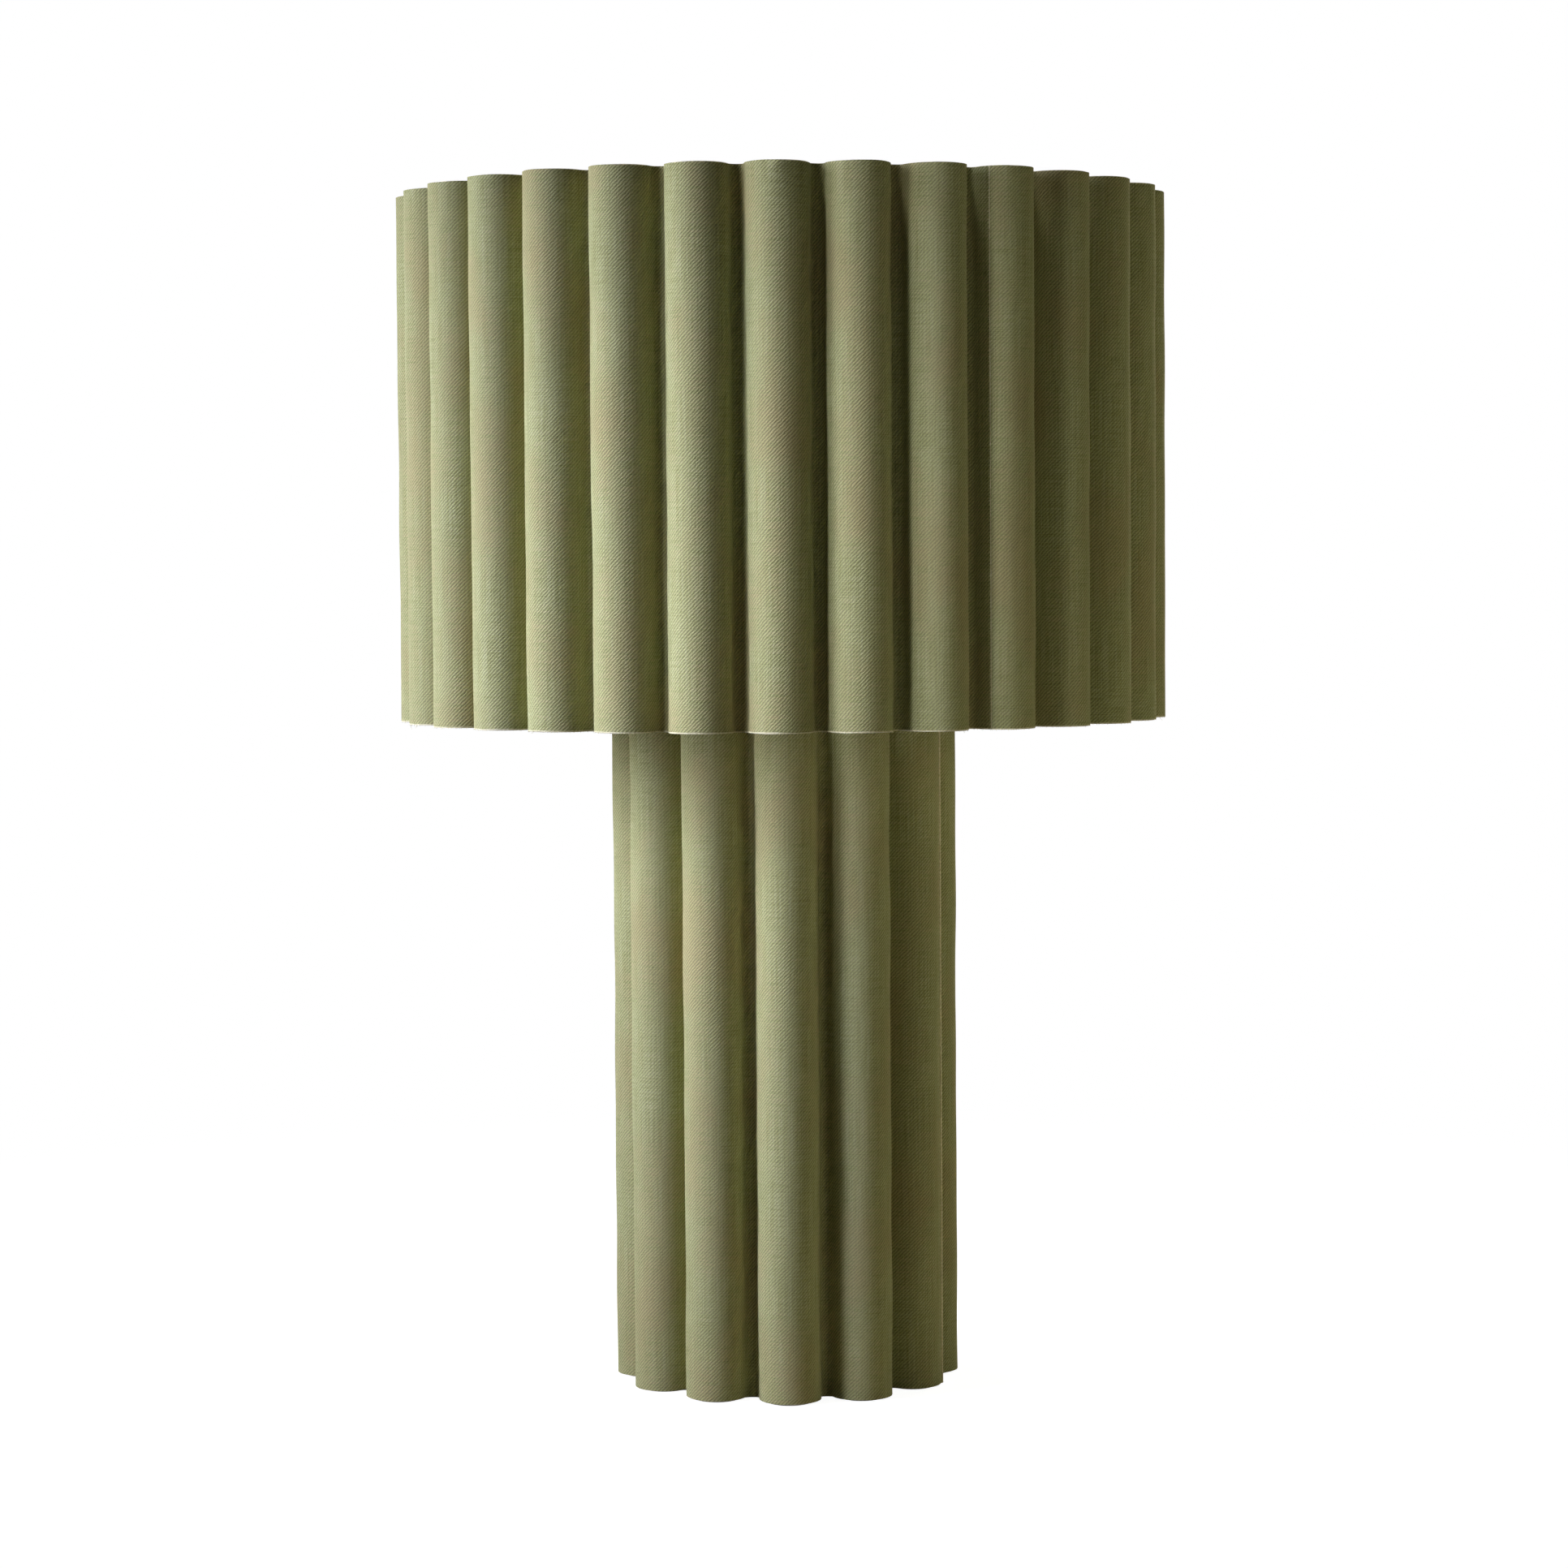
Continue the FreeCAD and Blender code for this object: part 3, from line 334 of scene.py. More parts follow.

# %% [markdown]
# Where the cloth is cut, the ends of the threads show: paler than the face, dry and fuzzy. The finish for the cut
# edges is the same flax, bleached a little and broken up by fine specks. Its near-white paleness is partly painted
# highlight: it stands in for the light that the loose fibres catch.

# %% Cut edge finish
# Bare thread ends: pale and speckled, with no gloss at all, and paler still as a painted highlight for the light their
# loose fibres catch.
cut_edge_and_highlight, tree = new_finish("linen_cut_edge_and_highlight")
spot = add_node(tree, "ShaderNodeTexCoord").outputs["Object"]
ends = add_node(tree, "ShaderNodeTexNoise", {"Vector": spot, "Scale": 1 / (0.9 * MM), "Detail": 2.0})
frayed = add_node(
    tree, "ShaderNodeValToRGB", {"Fac": ends.outputs["Fac"]}, stops=((0.3, "#C9BF92"), (0.7, "#F6EFD0")))
shader = add_node(
    tree, "ShaderNodeBsdfPrincipled",
    {"Base Color": frayed.outputs[0], "Roughness": 0.95, "Specular IOR Level": 0.05, "Sheen Weight": 0.15,
     "Sheen Tint": colour("#F0E2B8")})
show_finish(tree, shader)

# %% [markdown]
# ## The plan of the ribs
#
# Seen from above, both skins follow one outline: convex arcs, the ribs, joined by tight concave arcs, the valleys.
# All the arc centres lie on one circle, so each rib runs smoothly into the next valley. A point on the cloth is given
# by the length walked along this outline from the front rib, which is also its place on the flat cloth.

# %% Ribbed outline
VALLEY_RADIUS = 3.8 * MM


def ribbed_plan(width, ribs, turn):
    step = math.pi / ribs
    half = math.sin(step / 2)
    rib = (width * half - VALLEY_RADIUS) / (1 + 2 * half)
    plan = {"ribs": ribs, "turn": math.radians(turn), "step": step, "rib": rib, "pitch": width / 2 - rib,
            "lobe": rib * (math.pi + step), "valley": VALLEY_RADIUS * (math.pi - step)}
    plan["period"] = plan["lobe"] + plan["valley"]
    plan["round"] = ribs * plan["period"]
    return plan


def on_ribs(plan, along, lift):
    """x and y of points that lie a length along the outline and a lift outside it."""
    walked = along + plan["lobe"] / 2
    count = np.floor(walked / plan["period"])
    rest = walked - count * plan["period"]
    convex = rest < plan["lobe"]
    swing = np.where(convex, (rest - plan["lobe"] / 2) / plan["rib"],
                     (plan["lobe"] + plan["valley"] / 2 - rest) / VALLEY_RADIUS)
    around = plan["turn"] - math.pi / 2 + plan["step"] * (2 * count + np.where(convex, 0, 1))
    radius = np.where(convex, plan["rib"] + lift, lift - VALLEY_RADIUS)
    x = plan["pitch"] * np.cos(around) + radius * np.cos(around + swing)
    y = plan["pitch"] * np.sin(around) + radius * np.sin(around + swing)
    return x, y


SHADE_PLAN = ribbed_plan(400 * MM, 30, -1.1)
COLUMN_PLAN = ribbed_plan(180 * MM, 12, 0)
print("Cloth round the shade:", round(SHADE_PLAN["round"], 3), "m, round the column:", round(COLUMN_PLAN["round"], 3))

# %% [markdown]
# ## Forming the cloth
#
# Each skin is one strip of cloth that goes once round and laps over itself at the seam. A cloth simulation would
# relax the ribs, which on the real lamp are held by the glued liner, so the strip is formed directly: a grid is laid
# out as the flat cloth, its rows and columns are moved on to the ribs, and small uneven waves, a lap at the seam and
# hand-cut edges are added as vertex moves. The cloth only ever swells outwards, so the liner stays covered. Towards
# the seam the swelling fades, so that the lap lies flat, and the raw edge thins out where its threads come loose.

# %% Waves and cuts
CLOTH = 0.6 * MM
FRAY = 0.6 * MM
CUT_WAVE = 60 * MM


def ease(share):
    """A share from 0 to 1 that starts and stops gently."""
    return share * share * (3 - 2 * share)


def soft_waves(along, up, seed, longest, count=14):
    """Smooth unevenness from 0 to 1, the same on every run."""
    dice = np.random.default_rng(seed)
    total = np.zeros_like(along)
    for _ in range(count):
        length = longest * dice.uniform(0.35, 1.0)
        heading = dice.uniform(0, 2 * math.pi)
        total += np.sin((along * math.cos(heading) + up * math.sin(heading)) * 2 * math.pi / length
                        + dice.uniform(0, 2 * math.pi))
    return np.clip(0.5 + total / (2.6 * math.sqrt(count)), 0, 1)


def cut_line(along, seed):
    """How far the scissors strayed along a cut edge, from 0 to 1."""
    return soft_waves(along, 0 * along, seed + 1, CUT_WAVE)


print("Cloth", round(CLOTH / MM, 2), "mm thick, frayed for", round(FRAY / MM, 2), "mm at a cut")

# %% Rows and columns of points
LOBE_STEPS, VALLEY_STEPS, LEAST_STEP = 18, 10, 0.6 * MM
LAP_RISE = 5 * MM
EDGE_ROWS = (0, FRAY, 1.6 * MM, 3 * MM, 5 * MM)
ROW_STEP = 8 * MM


def strip_columns(plan, start, lap, fray):
    """Lengths along the outline where the strip has a column of points: close together in the valleys."""
    end = start + plan["round"] + lap
    first = math.floor(start / plan["period"]) - 1
    marks = [start + place for place in (0, fray, 3 * MM, 6 * MM)]
    marks += [start + lap + place for place in (0, 1.5 * MM, 3.5 * MM, LAP_RISE)] + [end - 4 * MM, end]
    fixed = len(marks)
    for rib in range(first, first + plan["ribs"] + 3):
        crest = rib * plan["period"]
        on_lobe = np.linspace(-0.5, 0.5, LOBE_STEPS + 1)[:-1] * plan["lobe"]
        in_valley = plan["lobe"] / 2 + np.linspace(0, 1, VALLEY_STEPS + 1)[:-1] * plan["valley"]
        for place in list(on_lobe) + list(in_valley):
            spot = crest + place
            if start < spot < end and min(abs(spot - mark) for mark in marks[:fixed]) > LEAST_STEP:
                marks.append(spot)
    return np.array(sorted(marks))


def strip_rows(low, high):
    """Heights where the strip has a row of points: close together along the cuts."""
    margin = EDGE_ROWS[-1]
    steps = round((high - low - 2 * margin) / ROW_STEP)
    middle = np.linspace(low + margin, high - margin, steps + 1)[1:-1]
    return np.array([low + e for e in EDGE_ROWS] + list(middle) + [high - e for e in reversed(EDGE_ROWS)])


print("Columns round the column:", len(strip_columns(COLUMN_PLAN, 0.0, 0.0, FRAY)))

# %% A flat grid with the cloth's own map
def flat_grid(name, columns, rows):
    clear_selection()
    bpy.ops.mesh.primitive_grid_add(x_subdivisions=len(columns) - 1, y_subdivisions=len(rows) - 1, size=1)
    sheet = bpy.context.object
    sheet.name = sheet.data.name = name
    return sheet


def map_cloth(sheet, across, up):
    """A UV map in metres of flat cloth."""
    flat = np.stack([across.ravel(), up.ravel()], axis=-1)
    corners = np.empty(len(sheet.data.loops), dtype=np.int32)
    sheet.data.loops.foreach_get("vertex_index", corners)
    sheet.data.uv_layers[0].name = "cloth"
    sheet.data.uv_layers["cloth"].data.foreach_set("uv", flat[corners].astype(np.float32).ravel())


# %% Strip of cloth
SWELL_LENGTH = 130 * MM
SEAM_FADE = 20 * MM
LAP_GAP = 0.06 * MM
RAW_THINNING = 0.7
EDGE_ZONE = 5 * MM


def form_strip(name, plan, start, lap, low, high, swell, trim_low, trim_high, seed, frayed_rows, fray):
    columns, rows = strip_columns(plan, start, lap, fray), strip_rows(low, high)
    strip = flat_grid(name, columns, rows)
    along, up = np.meshgrid(columns, rows)
    free = np.clip(np.minimum(along - start - lap, start + plan["round"] - along) / SEAM_FADE, 0, 1)
    lift = swell * ease(free) * soft_waves(along, up, seed, SWELL_LENGTH)
    lift += (CLOTH + LAP_GAP) * ease(np.clip((start + lap + LAP_RISE - along) / LAP_RISE, 0, 1))
    lift -= RAW_THINNING * CLOTH * np.clip((start + fray - along) / fray, 0, 1)
    near_low = np.clip(1 - (up - low) / EDGE_ZONE, 0, 1)
    near_high = np.clip(1 - (high - up) / EDGE_ZONE, 0, 1)
    cut = cut_line(along, seed)
    x, y = on_ribs(plan, along, lift)
    z = up + trim_low * cut * near_low - trim_high * (1 - cut) * near_high
    strip.data.vertices.foreach_set("co", np.stack([x, y, z], axis=-1).ravel())
    map_cloth(strip, along, up)
    faces = np.arange(len(strip.data.polygons))
    # The frayed faces take the cut-edge finish, whose paleness is partly painted highlight.
    frayed = (faces % (len(columns) - 1) == 0) | (faces < frayed_rows * (len(columns) - 1))
    strip.data.polygons.foreach_set("material_index", frayed.astype(np.int32))
    strip.data.update()
    print(name, len(columns), "columns,", len(rows), "rows")
    return strip


# %% Thickness of a sheet
SMOOTH_UP_TO = math.radians(40)


def give_thickness(sheet, thickness, face, edge):
    sheet.data.materials.append(face)
    sheet.data.materials.append(edge)
    wall = sheet.modifiers.new("thickness", "SOLIDIFY")
    wall.thickness = thickness
    wall.offset = -1
    wall.material_offset_rim = 1
    apply_modifier(sheet, wall)
    bpy.ops.object.shade_smooth_by_angle(angle=SMOOTH_UP_TO)
    print(sheet.name, len(sheet.data.vertices), "points,", len(sheet.data.polygons), "faces")


# %% [markdown]
# The shade's strip starts on the third rib to the right of the front one. There its raw edge shows as one straight
# upright line, with the other end tucked underneath.

# %% Cloth of the shade
SHADE_LOW, SHADE_HIGH = 348 * MM, 620 * MM
SHADE_LAP, SHADE_TRIM, SHADE_SEED = 10 * MM, 0.4 * MM, 11
SHADE_SEAM_RIB, SHADE_SEAM_TURN = 3, math.radians(-61)
shade_seam = SHADE_SEAM_RIB * SHADE_PLAN["period"] + SHADE_SEAM_TURN * SHADE_PLAN["rib"]
shade_cloth = form_strip(
    "shade_cloth", SHADE_PLAN, shade_seam, SHADE_LAP, SHADE_LOW, SHADE_HIGH, swell=0.5 * MM, trim_low=SHADE_TRIM,
    trim_high=0.5 * MM, seed=SHADE_SEED, frayed_rows=1, fray=FRAY)
print("The shade's seam lies", round(shade_seam, 3), "m of cloth from the front rib")

# %% [markdown]
# At the top of the front rib the glue has let go a little, and the cloth stands off in a small pucker. It could be
# one more wave in the strip. By hand it is one point that is pulled outwards with proportional editing, so that its
# neighbours follow. The same operator does it here, while the cloth is still a thin sheet.

# %% Pucker in the shade's cloth
PUCKER_ALONG, PUCKER_DROP, PUCKER_PULL, PUCKER_REACH = -1.0 * MM, 3.5 * MM, 1.2 * MM, 5 * MM
x, y = on_ribs(SHADE_PLAN, np.array([PUCKER_ALONG]), 0.0)
spot = Vector((x[0], y[0], SHADE_HIGH - PUCKER_DROP))
nearest = min(range(len(shade_cloth.data.vertices)), key=lambda i: (shade_cloth.data.vertices[i].co - spot).length)
take_up(shade_cloth)
bpy.ops.object.mode_set(mode="EDIT")
bpy.ops.mesh.select_mode(type="VERT")
bpy.ops.mesh.select_all(action="DESELECT")
bpy.ops.object.mode_set(mode="OBJECT")
before = shade_cloth.data.vertices[nearest].co.copy()
shade_cloth.data.vertices[nearest].select = True
bpy.ops.object.mode_set(mode="EDIT")
bpy.ops.transform.translate(
    value=(0, -PUCKER_PULL, 0), use_proportional_edit=True, proportional_edit_falloff="SMOOTH",
    proportional_size=PUCKER_REACH, use_proportional_connected=True)
bpy.ops.object.mode_set(mode="OBJECT")
print("Pucker pulled", round((shade_cloth.data.vertices[nearest].co - before).length / MM, 2), "mm outwards")

# %% Finish the shade's cloth
give_thickness(shade_cloth, CLOTH, linen, cut_edge_and_highlight)
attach(shade_cloth, "shade")
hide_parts("shade_fabric")

# %% [markdown]
# The column's strip starts on the second rib to the right of the front one, just past its crest. Its raw edge is not
# trimmed as neatly as the shade's, so a wider pale stripe of loose threads runs from the foot to the shade.

# %% Cloth of the column
COLUMN_LOW, COLUMN_HIGH = 1 * MM, 372 * MM
COLUMN_LAP = 10 * MM
COLUMN_SEAM_RIB, COLUMN_SEAM_TURN = 2, math.radians(18)
column_seam = COLUMN_SEAM_RIB * COLUMN_PLAN["period"] + COLUMN_SEAM_TURN * COLUMN_PLAN["rib"]
column_cloth = form_strip(
    "column_cloth", COLUMN_PLAN, column_seam, COLUMN_LAP, COLUMN_LOW, COLUMN_HIGH, swell=0.6 * MM,
    trim_low=0.6 * MM, trim_high=0.4 * MM, seed=23, frayed_rows=0, fray=1.4 * MM)
give_thickness(column_cloth, CLOTH, linen, cut_edge_and_highlight)
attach(column_cloth, "base")
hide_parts("column_fabric")

# %% [markdown]
# ## Thread ends along the cuts
#
# Woven flax frays wherever it is cut: short pale ends hang from the shade's lower edge and stand out of both seams.
# One end is modelled, a thin bent taper of a few faces, and copied along each cut, every copy a little different in
# length and lean. The copies on one cloth are joined into one piece.

# %% One thread end
THREAD = 0.24 * MM
THREAD_TAPER = 0.5
UPRIGHT = 0.5 * MM  # an edge that rises more than this is an upright one


def cut_into_rings(tube, cuts):
    """Divide a tube's upright edges, so that its wall is a stack of rings."""
    take_up(tube)
    bpy.ops.object.transform_apply(location=True, rotation=False, scale=False)
    bpy.ops.object.mode_set(mode="EDIT")
    bpy.ops.mesh.select_mode(type="EDGE")
    bpy.ops.mesh.select_all(action="DESELECT")
    bpy.ops.object.mode_set(mode="OBJECT")
    for edge in tube.data.edges:
        low, high = (tube.data.vertices[corner].co.z for corner in edge.vertices)
        edge.select = abs(high - low) > UPRIGHT
    bpy.ops.object.mode_set(mode="EDIT")
    bpy.ops.mesh.subdivide(number_cuts=cuts)
    bpy.ops.object.mode_set(mode="OBJECT")


def thread_end(name, length, bend):
    clear_selection()
    bpy.ops.mesh.primitive_cylinder_add(vertices=4, radius=THREAD / 2, depth=length, location=(0, 0, length / 2))
    end = bpy.context.object
    end.name = end.data.name = name
    cut_into_rings(end, 3)
    for point in end.data.vertices:
        share = point.co.z / length
        point.co.x = point.co.x * (1 - THREAD_TAPER * share) + bend * share * share
        point.co.y *= 1 - THREAD_TAPER * share
    end.data.materials.append(cut_edge_and_highlight)
    return end


short_end = thread_end("short_thread_end", 1.0 * MM, 0.25 * MM)
stray_end = thread_end("stray_thread_end", 3.2 * MM, 1.4 * MM)
print("A thread end has", len(short_end.data.polygons), "faces")

# %% [markdown]
# A thread end needs a spot on the cloth and two headings there, along the ribs' outline and straight out of it. Both
# come from walking a tenth of a millimetre in each direction. The ends could be scattered by a particle system. Copies
# placed in code are used, because each has to sit on a cut and hang or stand the way that its cut lets it.

# %% Fringe helpers
TINY_STEP = 0.1 * MM


def spot_on_cloth(plan, along, lift, level):
    """A point on the cloth, with the headings along the outline and out of it."""
    x, y = on_ribs(plan, np.array([along, along + TINY_STEP, along]), np.array([lift, lift, lift + TINY_STEP]))
    spot = Vector((x[0], y[0], level))
    right = Vector((x[1] - x[0], y[1] - y[0], 0)).normalized()
    out = Vector((x[2] - x[0], y[2] - y[0], 0)).normalized()
    return spot, right, out


def fringe(name, ends):
    """One piece from (thread, spot, heading, stretch) for every end."""
    copies = []
    for thread, spot, heading, stretch in ends:
        copy = thread.copy()
        copy.data = thread.data.copy()
        scene.collection.objects.link(copy)
        copy.matrix_world = Matrix.LocRotScale(spot, heading.to_track_quat("Z", "Y"), Vector((1, 1, stretch)))
        copies.append(copy)
    clear_selection()
    for copy in copies:
        copy.select_set(True)
    bpy.context.view_layer.objects.active = copies[0]
    bpy.ops.object.join()
    bpy.ops.object.transform_apply(location=True, rotation=True, scale=True)
    joined = bpy.context.object
    joined.name = joined.data.name = name
    bpy.ops.object.shade_smooth()
    print(name, len(copies), "ends,", len(joined.data.polygons), "faces")
    return joined


# %% Fringe of the shade
HEM_SPACING, SHADE_SEAM_SPACING, STRAY_SHARE = 1.4 * MM, 1.3 * MM, 0.01
dice = np.random.default_rng(7)
ends = []
for along in np.arange(shade_seam, shade_seam + SHADE_PLAN["round"], HEM_SPACING):
    along += dice.uniform(-0.7, 0.7) * MM
    level = SHADE_LOW + SHADE_TRIM * float(cut_line(np.array([along]), SHADE_SEED)[0]) + 0.35 * MM
    spot, right, out = spot_on_cloth(SHADE_PLAN, along, dice.uniform(-0.35, -0.1) * MM, level)
    heading = Vector((0, 0, -1)) + right * dice.uniform(-0.9, 0.9) + out * dice.uniform(-0.1, 0.5)
    stray = dice.random() < STRAY_SHARE
    ends.append((stray_end if stray else short_end, spot, heading, dice.uniform(0.5, 1.1)))
for level in np.arange(SHADE_LOW + 2 * MM, SHADE_HIGH - 1 * MM, SHADE_SEAM_SPACING):
    spot, right, out = spot_on_cloth(
        SHADE_PLAN, shade_seam + 0.3 * MM, 0.45 * MM, level + dice.uniform(-0.6, 0.6) * MM)
    heading = -right + Vector((0, 0, dice.uniform(-0.8, 0.8))) + out * dice.uniform(0.0, 0.25)
    ends.append((short_end, spot, heading, dice.uniform(0.5, 0.95)))
shade_fringe = fringe("shade_fringe", ends)
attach(shade_fringe, "shade")

# %% Fringe of the column
COLUMN_SEAM_SPACING = 1.1 * MM
dice = np.random.default_rng(8)
ends = []
for level in np.arange(COLUMN_LOW + 2 * MM, COLUMN_HIGH - 1 * MM, COLUMN_SEAM_SPACING):
    spot, right, out = spot_on_cloth(
        COLUMN_PLAN, column_seam + 0.5 * MM, 0.48 * MM, level + dice.uniform(-0.5, 0.5) * MM)
    heading = -right * dice.uniform(0.1, 0.5) + Vector((0, 0, dice.uniform(-1.5, 1.5))) + out * dice.uniform(0.0, 0.3)
    ends.append((short_end, spot, heading, dice.uniform(0.5, 1.2)))
column_fringe = fringe("column_fringe", ends)
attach(column_fringe, "base")
bpy.data.objects.remove(short_end)
bpy.data.objects.remove(stray_end)

# %% [markdown]
# Both strips were cut to this size: once round the ribs and the lap, by the height.

print("Cut for the shade:", round(SHADE_PLAN["round"] + SHADE_LAP, 4), "m long,",
      "for the column:", round(COLUMN_PLAN["round"] + COLUMN_LAP, 4), "m long")

# %% [markdown]
# ## Cloth on top of the column, felt underneath
#
# Two flat sheets close the column: a disc of the same linen on the top board, and a wool felt pad that keeps the
# foot from scratching a table. Both are cut to the ribbed outline. Each starts as a grid whose columns run round the
# outline and whose rows step in towards the middle, and where the grid meets itself its points are merged.

# %% Ribbed disc
DISC_STEPS = (0, 0.04, 0.1, 0.2, 0.32, 0.46, 0.62, 0.8, 1.0)
DISC_WAVE, FLAT_MIDDLE, FLAT_RIM, MERGE = 60 * MM, 20 * MM, 0.2, 0.05 * MM


def form_disc(name, inset, hole, level, wave):
    columns = strip_columns(COLUMN_PLAN, 0.0, 0.0, FRAY)
    disc = flat_grid(name, columns, DISC_STEPS)
    along, inwards = np.meshgrid(columns, DISC_STEPS)
    x, y = on_ribs(COLUMN_PLAN, along, -inset)
    radius = np.hypot(x, y)
    scale = (radius + (hole - radius) * inwards) / radius
    x, y = x * scale, y * scale
    clear = np.clip((np.hypot(x, y) - FLAT_MIDDLE) / FLAT_MIDDLE, 0, 1) * np.clip(inwards / FLAT_RIM, 0, 1)
    z = level + wave * clear * soft_waves(x, y, 5, DISC_WAVE)
    disc.data.vertices.foreach_set("co", np.stack([x, y, z], axis=-1).ravel())
    map_cloth(disc, x, y)
    take_up(disc)
    bpy.ops.object.mode_set(mode="EDIT")
    bpy.ops.mesh.select_all(action="SELECT")
    bpy.ops.mesh.remove_doubles(threshold=MERGE)
    bpy.ops.object.mode_set(mode="OBJECT")
    return disc, sum(face.area for face in disc.data.polygons)


# %% Cloth of the column's top
TOP_LEVEL, TOP_INSET, PIPE_HOLE, TOP_WAVE = 372 * MM, 1.95 * MM, 5.25 * MM, 0.25 * MM
top_cloth, top_area = form_disc("column_top_cloth", TOP_INSET, PIPE_HOLE, TOP_LEVEL, TOP_WAVE)
give_thickness(top_cloth, CLOTH, linen, cut_edge_and_highlight)
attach(top_cloth, "base")
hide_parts("top_cover")
print("Top cloth:", round(top_area, 4), "square metres")

# %% [markdown]
# ## Wool felt
#
# Felt has no weave: wool fibres lie in every direction and are matted together. Two noises at right angles, each
# stretched along its fibres, crossed over a darker ground, give that look without any thread being modelled.

# %% Felt finish
# Matted wool: dark and soft, with short pale hairs lying every way and no gloss.
FIBRE = (0.5 * MM, 5 * MM)
felt, tree = new_finish("wool_felt")
spot = add_node(tree, "ShaderNodeTexCoord")
hairs = []
for across, along in (FIBRE, FIBRE[::-1]):
    stretch = add_node(
        tree, "ShaderNodeMapping",
        {"Vector": spot.outputs["Object"], "Rotation": (0, 0, 0.6), "Scale": (1 / across, 1 / along, 1 / across)})
    hairs.append(add_node(tree, "ShaderNodeTexNoise", {"Vector": stretch.outputs[0], "Scale": 1.0, "Detail": 3.0}))
matted = add_node(
    tree, "ShaderNodeMath", {0: hairs[0].outputs["Fac"], 1: hairs[1].outputs["Fac"]}, operation="MULTIPLY")
wool = add_node(
    tree, "ShaderNodeValToRGB", {"Fac": matted.outputs[0]}, stops=((0.12, "#2B2D25"), (0.42, "#565947")))
nap = add_node(tree, "ShaderNodeBump", {"Height": matted.outputs[0], "Strength": 0.7, "Distance": 0.4 * MM})
shader = add_node(
    tree, "ShaderNodeBsdfPrincipled",
    {"Base Color": wool.outputs[0], "Roughness": 0.95, "Specular IOR Level": 0.1, "Sheen Weight": 0.3,
     "Normal": nap.outputs[0]})
show_finish(tree, shader)

# %% Felt pad
FELT, FELT_INSET = 2 * MM, 3.85 * MM
foot_felt, felt_area = form_disc("foot_felt", FELT_INSET, 0.0, FELT, 0.0)
give_thickness(foot_felt, FELT, felt, felt)
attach(foot_felt, "base")
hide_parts("felt_pad")
print("Felt pad:", round(felt_area, 4), "square metres")

# %% [markdown]
# ## Finishes for the pieces that CAD already shapes well
#
# The turned, drawn and moulded pieces keep their CAD shape and only need the look of their material. Each finish
# starts from how the surface was made. All of them read Object coordinates, which here are metres in the lamp's own
# frame, so a pattern has the same size on every piece.
#
# Finial, harp, neck and the outside of the lamp holder are brass. A lathe leaves rings round the upright axis, so one
# noise is squeezed along z. The rings could be cut into the mesh, but they are far finer than its faces.

# %% Satin brass
# Turned and lacquered: warm yellow, fine rings round the upright axis, a little browner where it was handled.
RING, RING_DRIFT = 0.35 * MM, 60  # the drift is per metre: a ring changes slowly on its way round
brass, tree = new_finish("satin_turned_brass")
spot = add_node(tree, "ShaderNodeTexCoord").outputs["Object"]
lathe = add_node(tree, "ShaderNodeMapping", {"Vector": spot, "Scale": (RING_DRIFT, RING_DRIFT, 1 / RING)})
rings = add_node(tree, "ShaderNodeTexNoise", {"Vector": lathe.outputs[0], "Scale": 1.0, "Detail": 2.0})
handled = add_node(tree, "ShaderNodeTexNoise", {"Vector": spot, "Scale": 1 / (14 * MM), "Detail": 3.0})
tone = add_node(
    tree, "ShaderNodeValToRGB", {"Fac": handled.outputs["Fac"]}, stops=((0.35, "#B08A4A"), (0.65, "#CFAE66")))
satin = add_node(tree, "ShaderNodeMapRange", {"Value": rings.outputs["Fac"], "To Min": 0.22, "To Max": 0.42})
scored = add_node(tree, "ShaderNodeBump", {"Height": rings.outputs["Fac"], "Strength": 0.15, "Distance": 0.05 * MM})
shader = add_node(
    tree, "ShaderNodeBsdfPrincipled",
    {"Base Color": tone.outputs[0], "Metallic": 1.0, "Roughness": satin.outputs[0], "Normal": scored.outputs[0]})
show_finish(tree, shader)

# %% [markdown]
# The pipe, its nuts and its washers are zinc-plated steel. Plating in a barrel leaves a cloudy bloom, which one soft
# noise gives to the colour and to the roughness alike.

# %% Zinc-plated steel
# Barrel plated: cool grey with a cloudy bloom and the odd straw-coloured stain.
zinc, tree = new_finish("zinc_plated_steel")
spot = add_node(tree, "ShaderNodeTexCoord").outputs["Object"]
bloom = add_node(tree, "ShaderNodeTexNoise", {"Vector": spot, "Scale": 1 / (3.5 * MM), "Detail": 4.0})
tone = add_node(
    tree, "ShaderNodeValToRGB", {"Fac": bloom.outputs["Fac"]}, stops=((0.3, "#A9AAA4"), (0.7, "#C9CDD2")))
dull = add_node(tree, "ShaderNodeMapRange", {"Value": bloom.outputs["Fac"], "To Min": 0.28, "To Max": 0.5})
shader = add_node(
    tree, "ShaderNodeBsdfPrincipled", {"Base Color": tone.outputs[0], "Metallic": 1.0, "Roughness": dull.outputs[0]})
show_finish(tree, shader)

# %% [markdown]
# The weight in the foot is cast in sand. Its grains could be displaced in the mesh. Nobody sees the weight from close
# by, so a bump is enough.

